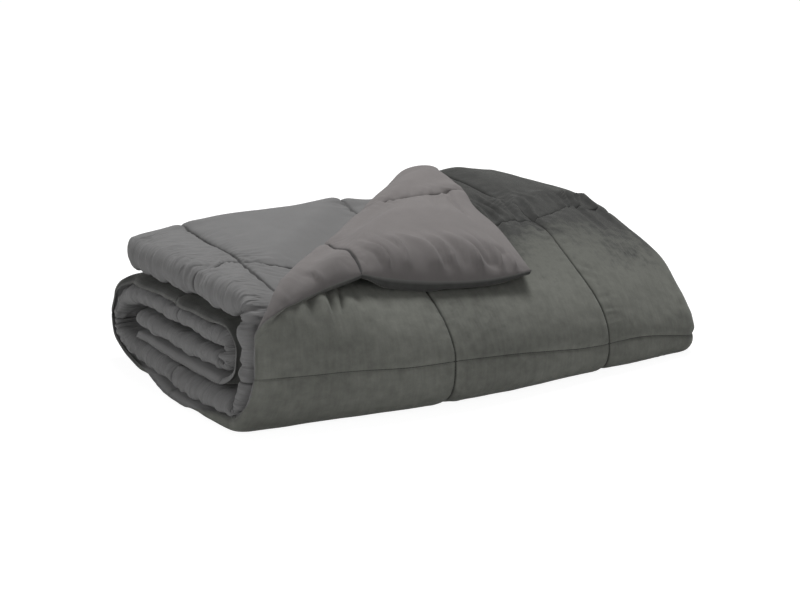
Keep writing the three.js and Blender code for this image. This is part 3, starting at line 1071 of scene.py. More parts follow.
    def on(self, face: Heights, across: Array, along: Array) -> Array:
        """Heights on a face. Its puckers may fade beside the pleat of the turned corner.

        Args:
            face: how high each kind of wrinkle stands on that face.
            across, along: places of the cloth.

        Returns:
            Heights, in metres.
        """
        faded = 1 - face.fades * self.quiet(across, along)
        shapes = (
            (face.dome, self.on_dome),
            (face.front, self.below_flap),
            (face.bend, self.at_left_bend),
            (face.flap, self.on_flap),
            (face.crumples, self.at_front_bend),
            (face.creases, self.at_right_hem),
        )
        return (
            face.puckers * self.at_seams(across, along, face.seed) * faded
            + face.filling * self.all_over(across, along, face.seed + 10)
            + sum(height * shape(across, along) for height, shape in shapes if height)
            - self.sheet.groove * self.groove(across, along)
        )


def unit(ways: Array) -> Array:
    """Directions brought to length 1."""
    return ways / np.maximum(np.linalg.norm(ways, axis=-1, keepdims=True), 1e-9)


def outward(points: Array, side: float) -> Array:
    """Unit normals of a grid of points.

    Args:
        points: the grid, x y z in the last axis.
        side: 1 or -1, which way to look.

    Returns:
        The normals: the cross product of the grid's two central differences.
    """
    return unit(np.cross(np.gradient(points, axis=0), np.gradient(points, axis=1)) * side)


# ---- the surface ----


class Face(Enum):
    """The two faces of the cloth, by the number of their material on the mesh."""

    PLUSH = 0
    BACK = 1


@dataclass(frozen=True)
class Run:
    """A stretch of grid lines: where it ends, its steps and how much they close up at its ends."""

    to: float
    steps: int
    close_start: float = 0.0
    close_end: float = 0.0


def grid_lines(runs: Sequence[Run]) -> Array:
    """Grid lines from 0 through the ends of the runs.

    Between two ends the lines follow t - a t (1 - t)^2 + b t^2 (1 - t), so that their spacing
    shrinks by the share a at the start and by the share b at the end.

    Args:
        runs: the stretches in order.

    Returns:
        The places of the lines.
    """
    lines = [np.zeros(1)]
    for run in runs:
        t = np.linspace(0, 1, run.steps + 1)[1:]
        t = t - run.close_start * (1 - t) ** 2 * t - run.close_end * t**2 * (t - 1)
        lines.append(mix(lines[-1][-1], run.to, t))
    return np.concatenate(lines)


@dataclass(frozen=True)
class Settling:
    """How the laid bundle swells, sags and leans under its own weight, by its place in space."""

    press: float = 0.002
    swell: float = 0.098
    swell_from: Rise = Rise(0.030, 0.340)
    swell_full: float = 1.12
    swell_until: Rise = Rise(0.500, 0.220)
    hump_from: Rise = Rise(0.555, 0.085, 0.066)
    hump_until: Rise = Rise(0.700, 0.050)
    swell_back: Rise = Rise(0.120, 0.230)
    sag_left: Rise = Rise(0.120, -0.120)
    sag_back: Rise = Rise(0.270, 0.130, 0.01)
    high: Rise = Rise(0.140, 0.022)
    hem_back: Rise = Rise(0.280, 0.100, 0.030)
    hem_left: Rise = Rise(0.130, -0.130)
    skew: float = 0.042
    skew_from: float = -0.040
    skew_over: float = 0.440
    skew_right: Rise = Rise(0.400, 0.370)
    lean: float = 0.010
    lean_far: tuple[Rise, Rise] = (Rise(0.300, 0.060, 0.010), Rise(0.350, 0.035, 0.012))
    lean_left: Rise = Rise(0.030, -0.060)
    end: Rise = Rise(0.600, 0.150)
    end_in: float = 0.010
    end_front: Rise = Rise(0.0, -0.050, 0.006)
    full_at: Hill = Hill(0.040, 0.070)
    full_high: Rise = Rise(0.070, 0.060)
    full_out: float = 0.006
    full_up: float = 0.009
    low: Rise = Rise(0.090, -0.090)
    low_front: Rise = Rise(0.300, -0.150)
    low_left: Rise = Rise(0.160, -0.160, 0.022)

    def __call__(self, p: Array) -> Array:
        """The whole bundle's own swell and sag, its skewed doubled edge and its pressed underside.

        Args:
            p: points, x y z in the last axis.

        Returns:
            The points after they have settled.
        """
        x, y, z = p[..., 0], p[..., 1], p[..., 2]
        swell = self.swell_from(x) * (self.swell_full - self.swell_until(x))
        hump = self.hump_from(x) * (1 - self.hump_until(x))
        rise = (self.swell * swell + hump) * self.swell_back(y)
        sag = self.sag_back(y) * self.sag_left(x)
        high = self.high(z)
        y = y - self.hem_back(y) * self.hem_left(x) * high
        z = z * (1 + rise - sag)
        x = x - self.skew * ((y - self.skew_from) / self.skew_over) ** 2 * self.skew_right(x)
        far = self.lean_far[0](y) + self.lean_far[1](y)
        x = x + (self.lean + far) * self.lean_left(x) * high
        end = self.end(x)
        full = end * self.full_at(y) * self.full_high(z)
        x = x - (self.end_in + self.end_front(y)) * end + self.full_out * full
        z = z + self.full_up * full
        x = x - self.low(z) * self.low_front(y) * self.low_left(x)
        return np.stack([x, y, np.maximum(z, self.press)], axis=-1)


@dataclass
class Duvet:
    """The duvet itself: one closed padded solid with a plush face and a brushed back."""

    sheet: Sheet = field(default_factory=Sheet)
    stack: Stack = field(default_factory=Stack)
    settle: Settling = field(default_factory=Settling)
    squeeze_loose: float = 0.054
    squeezed: Rise = Rise(1.000, 0.150)
    hem_seats: tuple[tuple[float, float], ...] = (
        (0.00, -0.35), (0.48, -0.35), (0.52, 0.7), (0.59, 0.5), (0.64, -2.2), (0.69, -1.6),
        (0.78, 0.5), (0.92, 0.7), (0.98, -0.9), (1.50, -0.9), (1.60, 0.7), (1.96, 0.7),
    )
    outside_hem: tuple[float, float, float] = (0.0116, 0.09737, -0.002)
    lap: float = 0.002
    core_lap: Hill = Hill(1.30, 0.16, 0.005)
    lap_waves: Waves = Waves(0.030, 1.0, 81, 0.8)
    lap_clears: float = 0.03
    lap_fades: float = 0.012
    crisp: Patch = Patch(Hill(0.48, 0.08, 0.4), Hill(0.0, 0.06))
    wrinkled: Rise = Rise(0.0, 0.012)
    narrower_across: float = 3.0

    def __post_init__(self) -> None:
        """Makes the roll and the corner that the cloth is laid by."""
        self.roll = Roll(self.sheet)
        self.corner = Corner(self.roll)

    def lanes(self) -> Array:
        """Grid lines across the cloth, close together at seams and bends.

        Returns:
            The places of the lines, in metres of cloth.
        """
        side, stack = self.sheet.square_across, self.stack
        return grid_lines(
            [
                Run(0.040, 14),
                Run(side, 74, 0.0, 0.6),
                Run(2 * side, 86, 0.6, 0.6),
                Run(stack.doubled_at, 52, 0.6, 0.0),
                Run(stack.doubled_to, 16),
                Run(3 * side, 8, 0.0, 0.2),
                Run(4 * side, 52, 0.3, 0.5),
                Run(5 * side, 72, 0.6, 0.6),
                Run(stack.turning_from, 30, 0.5, 0.0),
                Run(stack.turned_to, 14),
                Run(self.sheet.across - 0.02, 30),
                Run(self.sheet.across, 6),
            ]
        )

    def rows(self) -> Array:
        """Grid lines along the cloth, closest together where it can be seen.

        Returns:
            The places of the lines, in metres of cloth.
        """
        side = self.sheet.square_along
        visible = [Run(0.040, 14), Run(side, 74, 0.0, 0.6)]
        visible += [Run(2 * side, 86, 0.6, 0.6), Run(3 * side, 76, 0.6, 0.5)]
        return grid_lines(visible + [Run(k * side, 56, 0.4, 0.4) for k in range(4, 8)])

    def hem_seat(self, across: Array, along: Array, half: Array) -> Array:
        """Distance of the hem from the ply's middle to the plush side."""
        places, seats = np.array(self.hem_seats).T
        return np.where(across <= 0, half * np.interp(along, places, seats), 0.0)

    def hem_lap(self, u: Array, v: Array) -> Array:
        """How far the outer side hem sticks out past the bends behind it, in small waves.

        Args:
            u, v: places on the straight grid of squares.

        Returns:
            The distance, in metres.
        """
        far = self.lap + self.core_lap(v)
        waves = 1 + self.lap_waves(v, 0.5 + 0 * v)
        clear = Rise(self.corner.fold_along, self.lap_clears)(v)
        return far * waves * clear * np.exp(-u / self.lap_fades)

    def reaches(self, u: Array, v: Array, lay: dict[str, Array]) -> tuple[Array, Array, Array]:
        """Reach of the plush face and of the back from the ply's middle.

        The rest of the loft is drawn in, partly on one face and partly on the other.

        Args:
            u, v: places on the straight grid of squares.
            lay: where the sheet lies in the stack.

        Returns:
            Both reaches, and the share of the full loft that the seams leave.
        """
        s = self.sheet
        filled = s.filled(*s.seams(u, v))
        edge = s.puffed(s.to_hem(u, v), s.hem_reach * (1 - self.crisp(u, v)))
        drawn = (2 * lay["half"] - s.stitched) * (1 - filled)
        share = lay["share"] / 2
        plush, back = (edge * (lay["half"] - drawn * part) for part in (share, 1 - share))
        return plush, back, filled

    def on_cloth(self, across: Array, along: Array, off: Array, lay: dict[str, Array]) -> Array:
        """Points of space for points of the sheet.

        Args:
            across, along: the points of the sheet.
            off: distance from the ply's middle to the plush side.
            lay: where the sheet lies in the stack.

        Returns:
            Points, x y z in the last axis, in the bundle's own frame.
        """
        core = self.roll.stations(lay["x"])["core"] / self.squeeze_loose
        squeeze = mix(1, core, self.squeezed(along))
        x = lay["x"] + off * lay["face_x"]
        rolled = self.roll.place(x, along, squeeze * (lay["depth"] + off * lay["face_depth"]))
        on = (across < self.corner.fold_across) & (self.corner.past(across, along) > 0)
        rolled[on] = self.corner.place(across[on], along[on], lay["depth"][on], off[on])
        return self.settle(rolled)

    def surface(self) -> tuple[Array, Array, Array, Array]:
        """The two faces as grids of points.

        Returns:
            Plush points, back points, and their places on the straight grid of squares.
        """
        u, v = np.meshgrid(self.lanes(), self.rows(), indexing="ij")
        across, along = self.sheet.cloth(u, v)
        stack, corner = self.stack, self.corner
        inner_x = np.clip(stack.doubled_at - (across - stack.doubled_to), 0, None)
        lay = stack.lay(across, corner.past(inner_x, along), corner.past(0 * along, along))
        plush_reach, back_reach, filled = self.reaches(u, v, lay)
        plush_reach = plush_reach + corner.underneath(across, along)
        back_reach = back_reach + corner.on_top(across, along, filled)
        seat, to_hem = self.hem_seat(u, v, lay["half"]), self.sheet.to_hem(u, v)
        lines = Wrinkles(self.sheet, stack, corner)
        keep, lap = self.wrinkled(to_hem), self.hem_lap(u, v)
        faces = []
        for reach, side, high in ((plush_reach, -1.0, ON_PLUSH), (-back_reach, 1.0, ON_BACK)):
            face = self.on_cloth(across, along, np.where(to_hem <= 0, seat, reach), lay)
            face[..., 0] -= lap
            face = face + outward(face, side) * (keep * lines.on(high, u, v))[..., None]
            face[..., 2] = np.maximum(face[..., 2], self.settle.press)
            faces.append(face)
        return *faces, u, v

    def build(self) -> list[bpy.types.Object]:
        """Makes the duvet's mesh, two grids of quads that share their hem, and its stitching.

        Returns:
            The body and the thread.
        """
        plush, back, u, v = self.surface()
        shift = np.array(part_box("duvet")[0]) + np.array(self.outside_hem)
        plush, back = plush + shift, back + shift
        thread = Stitching(self.sheet).build((plush, back), u[:, 0], v[0])
        count = u.size
        number = np.arange(count).reshape(u.shape)
        hem = np.zeros(u.shape, dtype=bool)
        hem[[0, -1], :] = hem[:, [0, -1]] = True
        below = np.where(hem, number, 0)
        below[~hem] = count + np.arange((~hem).sum())

        def both(on_plush: Array, on_back: Array) -> Array:
            """Values of all plush points and then of the back points that aren't on the hem."""
            inner = on_back[~hem]
            return np.concatenate([on_plush.reshape(count, -1), inner.reshape(len(inner), -1)])

        def quads(n: Array, flipped: bool) -> Array:
            """Corner numbers of the quads between grid points, turned over for the back."""
            corners = [n[1:, :-1], n[:-1, :-1], n[:-1, 1:], n[1:, 1:]]
            return np.stack(corners[::-1] if flipped else corners, axis=-1).reshape(-1, 4)

        faces = np.concatenate([quads(number, False), quads(below, True)])
        flat = np.stack(self.sheet.cloth(u, v), axis=-1)
        piece = mesh_piece("duvet_body", both(plush, back), faces, both(flat, flat))
        a, b = (np.abs(distance) for distance in self.sheet.seams(u, v))
        to_hem = self.sheet.to_hem(u, v)
        narrowed = np.minimum(a, self.narrower_across * b)
        near = {"seam": both(narrowed, np.minimum(a, b)), "hem": both(to_hem, to_hem)}
        for name, distances in near.items():
            layer = piece.data.attributes.new(name, "FLOAT", "POINT")
            layer.data.foreach_set("value", distances.astype(np.float32).ravel())
        worn = np.repeat([Face.PLUSH.value, Face.BACK.value], len(faces) // 2)
        piece.data.polygons.foreach_set("material_index", worn.astype(np.int32))
        return [piece, thread]


def mesh_piece(
    name: str, points: Array, faces: Array, uv: Array | None = None
) -> bpy.types.Object:
    """Makes a smooth-shaded object at the origin from arrays of faces with equal corners.

    Args:
        name: the object's name.
        points: vertex places.
        faces: the vertex numbers of each face.
        uv: a pair of numbers for each vertex, kept as the UV map, in metres of cloth.

    Returns:
        The linked object.
    """
    mesh = bpy.data.meshes.new(name)
    mesh.vertices.add(len(points))
    mesh.vertices.foreach_set("co", points.astype(np.float32).ravel())
    mesh.loops.add(faces.size)
    mesh.loops.foreach_set("vertex_index", faces.astype(np.int32).ravel())
    mesh.polygons.add(len(faces))
    starts = np.arange(0, faces.size, faces.shape[1], dtype=np.int32)
    mesh.polygons.foreach_set("loop_start", starts)
    mesh.update(calc_edges=True)
    mesh.polygons.foreach_set("use_smooth", np.ones(len(faces), dtype=bool))
    if uv is not None:
        layer = mesh.uv_layers.new(name="sheet")
        layer.data.foreach_set("uv", uv[faces.ravel()].astype(np.float32).ravel())
    mesh.validate()
    piece = bpy.data.objects.new(name, mesh)
    bpy.context.scene.collection.objects.link(piece)
    return piece


# ---- stitching ----


@dataclass
class Stitching:
    """The thread on both faces of every seam: one small spindle to a stitch."""

    sheet: Sheet
    pitch: float = 0.0045
    length: float = 0.0034
    width: float = 0.00065
    proud: float = 0.0003

    def _stitches(self) -> tuple[Array, Array]:
        """Middles of all stitches on the sheet, and the way each runs: across and along.

        Returns:
            Places and ways, each as a row of across and a row of along.
        """
        s = self.sheet
        stop = s.seam_stops.start
        down = np.arange(stop, s.along - stop, self.pitch)
        over = np.arange(stop, s.across - stop, self.pitch)
        seams = [(k * s.square_across, down, 1) for k in range(1, s.columns)]
        seams += [(k * s.square_along, over, 0) for k in range(1, s.rows)]
        places, ways = [], []
        for at, run, axis in seams:
            place = np.full((2, len(run)), at)
            place[axis] = run
            way = np.zeros_like(place)
            way[axis] = 1
            places.append(place)
            ways.append(way)
        return np.hstack(places), np.hstack(ways)

    def build(self, faces: Sequence[Array], lanes: Array, rows: Array) -> bpy.types.Object:
        """Makes the thread on top of the faces' finished surface.

        A stitch has a point at each end and a ring of four round its middle.

        Args:
            faces: the plush grid and the back grid of points.
            lanes: grid lines across the cloth.
            rows: grid lines along it.

        Returns:
            The new object.
        """
        middles, ways = self._stitches()
        half, thick = self.length / 2, self.width / 2
        bodies = []
        for grid, side in zip(faces, (-1.0, 1.0)):
            start, end = middles - half * ways, middles + half * ways
            a, b = (sample(grid, lanes, rows, *place) for place in (start, end))
            up = sample(outward(grid, side), lanes, rows, *start)
            middle = (a + b) / 2 + up * (self.proud + thick)
            line = unit(b - a)
            cross = unit(np.cross(line, up))
            lift = np.cross(cross, line)
            ring = [middle + way * thick for way in (cross, lift, -cross, -lift)]
            bodies.append(np.stack([middle - line * half, *ring, middle + line * half], axis=1))
        points = np.concatenate(bodies)
        sides = [(1 + k, 1 + (k + 1) % 4) for k in range(4)]
        shape = np.array([(0, b, a) for a, b in sides] + [(5, a, b) for a, b in sides])
        starts = np.arange(len(points))[:, None, None] * 6
        return mesh_piece("quilting_thread", points.reshape(-1, 3), (shape + starts).reshape(-1, 3))


def sample(grid: Array, lanes: Array, rows: Array, across: Array, along: Array) -> Array:
    """Values of a grid at places of the sheet, in straight lines between its points."""
    u = np.interp(across, lanes, np.arange(len(lanes)))
    return between(grid, u, np.interp(along, rows, np.arange(len(rows))))


# ---- finishes ----


def operator(operation: str, reflected: bool = False) -> Callable[[Value, Value | float], Value]:
    """Makes one of Python's operators for Value: a Math node, its sockets swapped if reflected.

    Args:
        operation: the Math node's operation.
        reflected: whether the other value comes first.

    Returns:
        The operator.
    """

    def apply(value: Value, other: Value | float) -> Value:
        """The Math node of the two."""
        return value.math(operation, *((other, value) if reflected else (value, other)))

    return apply


class Value:
    """A socket with Python's operators, so that shader maths reads as an expression."""

    def __init__(self, shader: Shader, socket: bpy.types.NodeSocket) -> None:
        """Wraps a socket of a shader's node."""
        self.shader, self.socket = shader, socket

    def math(self, operation: str, *values: Value | float) -> Value:
        """Adds one Math node."""
        return self.shader.node(
            "ShaderNodeMath", {"operation": operation}, dict(enumerate(values))
        )

    __add__ = operator("ADD")
    __radd__ = operator("ADD", True)
    __sub__ = operator("SUBTRACT")
    __rsub__ = operator("SUBTRACT", True)
    __mul__ = operator("MULTIPLY")
    __rmul__ = operator("MULTIPLY", True)
    __truediv__ = operator("DIVIDE")

    def clamped(self) -> Value:
        """self held between 0 and 1."""
        return self.shader.node("ShaderNodeClamp", {}, {"Value": self})

    def size(self) -> Value:
        """self without its sign."""
        return self.math("ABSOLUTE", self)


class Owner(Enum):
    """What a node tree belongs to, as in the name of its output node."""

    MATERIAL = "Material"
    WORLD = "World"


@dataclass(frozen=True)
class Grain:
    """Noise in a finish: scale, detail and roughness, and how far it is squeezed each way."""

    scale: float
    detail: float
    rough: float = 0.5
    squeezed: tuple[float, float, float] | None = None


@dataclass(frozen=True)
class Relief:
    """A bump: how far it stands out and how much of that shows."""

    distance: float
    strength: float


class Shader:
    """The node tree of one material, or of the world, and one way to add nodes to it."""

    def __init__(self, name: str, owner: Owner = Owner.MATERIAL) -> None:
        """Starts an empty tree with its output."""
        group = bpy.data.materials if owner is Owner.MATERIAL else bpy.data.worlds
        self.owner = group.new(name)
        self.owner.use_nodes = True
        self.tree = self.owner.node_tree
        self.tree.nodes.clear()
        self.output = self.tree.nodes.new(f"ShaderNodeOutput{owner.value}")

    def node(
        self,
        kind: str,
        settings: dict[str, object] | None = None,
        values: dict[str | int, object] | None = None,
        out: str | int = 0,
    ) -> Value:
        """Adds a node.

        Args:
            kind: the node's type.
            settings: its properties.
            values: numbers, colours or links for its sockets, by name or number.
            out: the output to give back.

        Returns:
            The wrapped output.
        """
        node = self.tree.nodes.new(kind)
        for key, value in (settings or {}).items():
            setattr(node, key, value)
        for key, value in (values or {}).items():
            if isinstance(value, Value):
                self.tree.links.new(value.socket, node.inputs[key])
            else:
                node.inputs[key].default_value = value
        return Value(self, node.outputs[out])

    def places(self) -> tuple[Value, Value, Value, Value]:
        """A place as a point of the cloth, as a point of space, and across and along the cloth.

        Returns:
            The four values, in that order.
        """
        cloth, solid = (self.node("ShaderNodeTexCoord", out=kind) for kind in ("UV", "Object"))
        across, along = (
            self.node("ShaderNodeSeparateXYZ", {}, {"Vector": cloth}, out=axis) for axis in "XY"
        )
        return cloth, solid, across, along

    def mixed(self, factor: Value | float, a: object, b: object, blend: str = "MIX") -> Value:
        """A colour mixed from a to b by a factor."""
        return self.node(
            "ShaderNodeMix",
            {"data_type": "RGBA", "blend_type": blend, "clamp_factor": True},
            {0: factor, 6: a, 7: b},
            out=2,
        )

    def grain(self, at: Value, grain: Grain) -> Value:
        """Noise at a place, from 0 to 1.

        Args:
            at: the place.
            grain: the noise's own values.

        Returns:
            The noise.
        """
        if grain.squeezed:
            at = self.node("ShaderNodeMapping", {}, {"Vector": at, "Scale": grain.squeezed})
        look = {"Scale": grain.scale, "Detail": grain.detail, "Roughness": grain.rough}
        return self.node("ShaderNodeTexNoise", {"noise_dimensions": "3D"}, {"Vector": at} | look)

    def raised(self, height: Value, relief: Relief, normal: Value | None = None) -> Value:
        """A bumped normal, on top of another one if that is given."""
        values = {"Height": height, "Distance": relief.distance, "Strength": relief.strength}
        return self.node("ShaderNodeBump", {}, values | ({"Normal": normal} if normal else {}))

    def beside(self, name: str, width: float) -> Value:
        """How near a point is to the seams, or the hem: 1 there, 0 from the given width away.

        Args:
            name: the attribute that holds the distance.
            width: that width, in metres.

        Returns:
            The share, 0 to 1.
        """
        kind = {"attribute_type": "GEOMETRY", "attribute_name": name}
        distance = self.node("ShaderNodeAttribute", kind, out="Fac")
        return (1 - distance / width).clamped()

    def seen(self) -> Value:
        """1 for rays that see the stage itself, straight, mirrored or through something clear.

        Returns:
            1 or 0.
        """
        rays = ("Is Camera Ray", "Is Glossy Ray", "Is Transmission Ray")
        straight, mirrored, clear = (self.node("ShaderNodeLightPath", out=ray) for ray in rays)
        return (straight + mirrored + clear).clamped()

    def either(self, factor: Value, a: Value, b: Value) -> Value:
        """Shader a where the factor is 0, shader b where it is 1."""
        return self.node("ShaderNodeMixShader", {}, {0: factor, 1: a, 2: b})

    def show(self, shader: Value) -> None:
        """Joins a shader to the output."""
        self.tree.links.new(shader.socket, self.output.inputs["Surface"])

    def cover(self, values: dict[str, object]) -> bpy.types.Material:
        """Joins a Principled shader to the output and gives back the finished material."""
        self.show(self.node("ShaderNodeBsdfPrincipled", {}, values))
        return self.owner


def grey(value: float) -> Colour:
    """A grey of the given value."""
    return (value, value, value, 1.0)


@dataclass(frozen=True)
class PlushFinish:
    """Short-pile plush with a brushed nap: dark green grey, with soft streaks and patches."""

    lit: Colour = (0.222, 0.227, 0.203, 1.0)
    deep: Colour = (0.122, 0.125, 0.112, 1.0)
    # Painted shade: the lit and deep tones darkened over the top, at the margin's bend and inside the
    # roll by the outer hem.
    brushed_away: Colour = (0.075, 0.076, 0.073, 1.0)
    shaded: Colour = (0.042, 0.042, 0.041, 1.0)
    # Near black along the seams: painted shade in their creases, where the nap is also pressed apart.
    stitched: Colour = (0.018, 0.018, 0.017, 1.0)
    hemmed: Colour = (0.170, 0.170, 0.165, 1.0)
    tint: Colour = (0.80, 0.81, 0.76, 1.0)
    pile_shade: float = 0.6
    patches: Grain = Grain(7.0, 2.0, 0.5)
    streaks: Grain = Grain(1.0, 3.0, 0.6, (230.0, 18.0, 1.0))
    mottle: Grain = Grain(60.0, 3.0, 0.6)
    pile: Grain = Grain(1400.0, 2.0, 0.6)
    mottle_relief: Relief = Relief(0.0010, 0.4)
    pile_relief: Relief = Relief(0.0006, 0.5)
    shares: tuple[float, float, float] = (0.40, 0.18, 0.42)
    contrast: float = 2.8
    seam_shade_from: float = 0.45
    pile_from: float = 0.35
    pile_contrast: float = 1.6
    pile_share: float = 0.4
    # Where the painted shade falls: over the top, inside the roll by the outer hem, and at the
    # margin's bend.
    top_from: float = 0.30
    top_over: float = 0.10
    ragged: float = 0.5
    roll_shade_from: float = 0.95
    roll_shade_sharp: float = 20.0
    hem_over: float = 0.060
    bend_shade_from: float = 1.505
    bend_shade_over: float = 0.045
    bend_shade_share: float = 0.8
    seam_width: float = 0.0020
    hem_width: float = 0.0014

    def material(self) -> bpy.types.Material:
        """Makes the plush.

        The nap lies in soft patches with faint streaks through them. The colour is darker, as painted
        shade, over the top of the bundle, where the nap also lies the other way, at the bend of the
        margin and inside the roll by the outer side hem. The pile itself is a fine grain.

        Returns:
            The material.
        """
        s = Shader("plush_face")
        cloth, solid, across, along = s.places()
        grains = (self.patches, self.streaks, self.mottle)
        patches, streaks, mottle = (s.grain(cloth, grain) for grain in grains)
        pile = s.grain(solid, self.pile)
        nap = patches * self.shares[0] + streaks * self.shares[1] + mottle * self.shares[2]
        # Painted shade mask: over the top (where the nap also lies the other way), inside the roll by
        # the outer hem, and at the margin's bend.
        top = self.top_from + self.top_over - along + (nap - 0.5) * self.ragged
        top = (top / self.top_over).clamped()
        edge = ((across - self.bend_shade_from) / self.bend_shade_over).clamped() * self.bend_shade_share
        inside = ((along - self.roll_shade_from) * self.roll_shade_sharp).clamped()
        inside = inside * (1 - across / self.hem_over).clamped()
        top = 1 - (1 - top) * (1 - edge) * (1 - inside)
        lit = s.mixed(top, self.lit, self.brushed_away)
        deep = s.mixed(top, self.deep, self.shaded)
        base = s.mixed(((nap - 0.5) * self.contrast + 0.5).clamped(), deep, lit)
        # Painted shade in the seams' creases, where the nap is also pressed apart.
        pressed = s.beside("seam", self.seam_width) * (self.seam_shade_from + patches).clamped()
        base = s.mixed(pressed, base, self.stitched)
        base = s.mixed(s.beside("hem", self.hem_width), base, self.hemmed)
        fine = ((pile - self.pile_from) * self.pile_contrast).clamped() * self.pile_share
        darker = s.mixed(1.0, base, grey(self.pile_shade), "MULTIPLY")
        normal = s.raised(mottle, self.mottle_relief)
        return s.cover(
            {
                "Base Color": s.mixed(fine, base, darker),
                "Roughness": 0.9,
                "Specular IOR Level": 0.12,
                "Sheen Weight": 0.22,
                "Sheen Roughness": 0.4,
                "Sheen Tint": self.tint,
                "Normal": s.raised(pile, self.pile_relief, normal),
            }
        )


@dataclass(frozen=True)
class BrushedFinish:
    """Brushed microfibre, matt and smooth: mid grey with a very fine weave."""

    lit: Colour = (0.210, 0.209, 0.208, 1.0)
    deep: Colour = (0.168, 0.167, 0.167, 1.0)
    warm: Colour = (1.07, 1.0, 0.985, 1.0)
    # Painted shade: the near black that the turned corner darkens to by its side hem, where it bends
    # down.
    laid: Colour = grey(0.02)
    # Darker along the seams: painted shade in their creases, beside the stitching.
    stitched: Colour = grey(0.045)
    mottle: Grain = Grain(26.0, 4.0, 0.6)
    fuzz: Grain = Grain(1100.0, 3.0, 0.6)
    gathers: Grain = Grain(1.0, 2.0, 0.5, (12.0, 70.0, 1.0))
    weave_relief: Relief = Relief(0.0002, 0.12)
    gather_relief: Relief = Relief(0.0035, 0.8)
    fuzz_relief: Relief = Relief(0.0005, 0.3)
    weave_scale: float = 2600.0 / 6.28
    gather_contrast: float = 4.0
    mottle_share: float = 0.9
    fuzz_share: float = 0.5
    corner: float = 0.50
    corner_sharp: float = 40.0
    hem_shade_over: float = 0.065
    hem_shade_share: float = 0.30
    bend: float = 1.560
    bend_width: float = 0.075
    seam_width: float = 0.0034

    def _gathered(self, s: Shader, cloth: Value, across: Value) -> Value:
        """Fine gathers round the fold of the margin, as heights from 0 up.

        Args:
            s: the material's shader.
            cloth: a point of the cloth.
            across: its place across.

        Returns:
            The heights.
        """
        lines = ((s.grain(cloth, self.gathers) - 0.5) * self.gather_contrast).size()
        off = (across - self.bend) / self.bend_width
        return lines * (1 - off * off).clamped()

    def _woven(self, s: Shader, cloth: Value) -> Value:
        """The weave, as the sum of its warp and its weft.

        Args:
            s: the material's shader.
            cloth: a point of the cloth.

        Returns:
            The heights.
        """
        bands = {"Vector": cloth, "Scale": self.weave_scale, "Distortion": 1.5, "Detail": 1.0}
        warp, weft = (
            s.node("ShaderNodeTexWave", {"wave_type": "BANDS", "bands_direction": axis}, bands)
            for axis in "XY"
        )
        return warp + weft

    def material(self) -> bpy.types.Material:
        """Makes the back.

        A plain weave of fine yarns lies under a brushed surface with soft mottling. It is a shade
        warmer on the corner that is turned up, and darker towards the side hem there: painted shade
        where the corner bends down.

        Returns:
            The material.
        """
        s = Shader("brushed_back")
        cloth, solid, across, along = s.places()
        mottle, fuzz = s.grain(cloth, self.mottle), s.grain(solid, self.fuzz)
        tone = (mottle - 0.5) * self.mottle_share + (fuzz - 0.5) * self.fuzz_share
        colour = s.mixed((tone + 0.5).clamped(), self.deep, self.lit)
        turned = ((self.corner - across - along) * self.corner_sharp + 0.5).clamped()
        colour = s.mixed(turned, colour, s.mixed(1.0, colour, self.warm, "MULTIPLY"))
        # Painted shade on the turned corner, darker towards its side hem where it bends down.
        laid = (1 - across / self.hem_shade_over).clamped() * turned * self.hem_shade_share
        colour = s.mixed(laid, colour, self.laid)
        normal = s.raised(self._woven(s, cloth), self.weave_relief)
        normal = s.raised(self._gathered(s, cloth, across), self.gather_relief, normal)
        return s.cover(
            {
                # Painted shade along the seams' creases.
                "Base Color": s.mixed(s.beside("seam", self.seam_width), colour, self.stitched),
                "Roughness": 0.9,
                "Specular IOR Level": 0.2,
                "Sheen Weight": 0.06,
                "Sheen Roughness": 0.6,
                "Normal": s.raised(fuzz, self.fuzz_relief, normal),
            }
        )


@dataclass(frozen=True)
class ThreadFinish:
    """Spun polyester quilting thread, dark and matt."""

    colour: Colour = (0.075, 0.077, 0.072, 1.0)

    def material(self) -> bpy.types.Material:
        """A plain matt thread."""
        values = {"Base Color": self.colour, "Roughness": 0.8, "Specular IOR Level": 0.2}
        return Shader("quilting_thread").cover(values)


# ---- the studio ----


@dataclass(frozen=True)
class Lamp:
    """A square soft lamp: its place, its side and its power in watts."""

    name: str
    at: tuple[float, float, float]
    side: float
    power: float


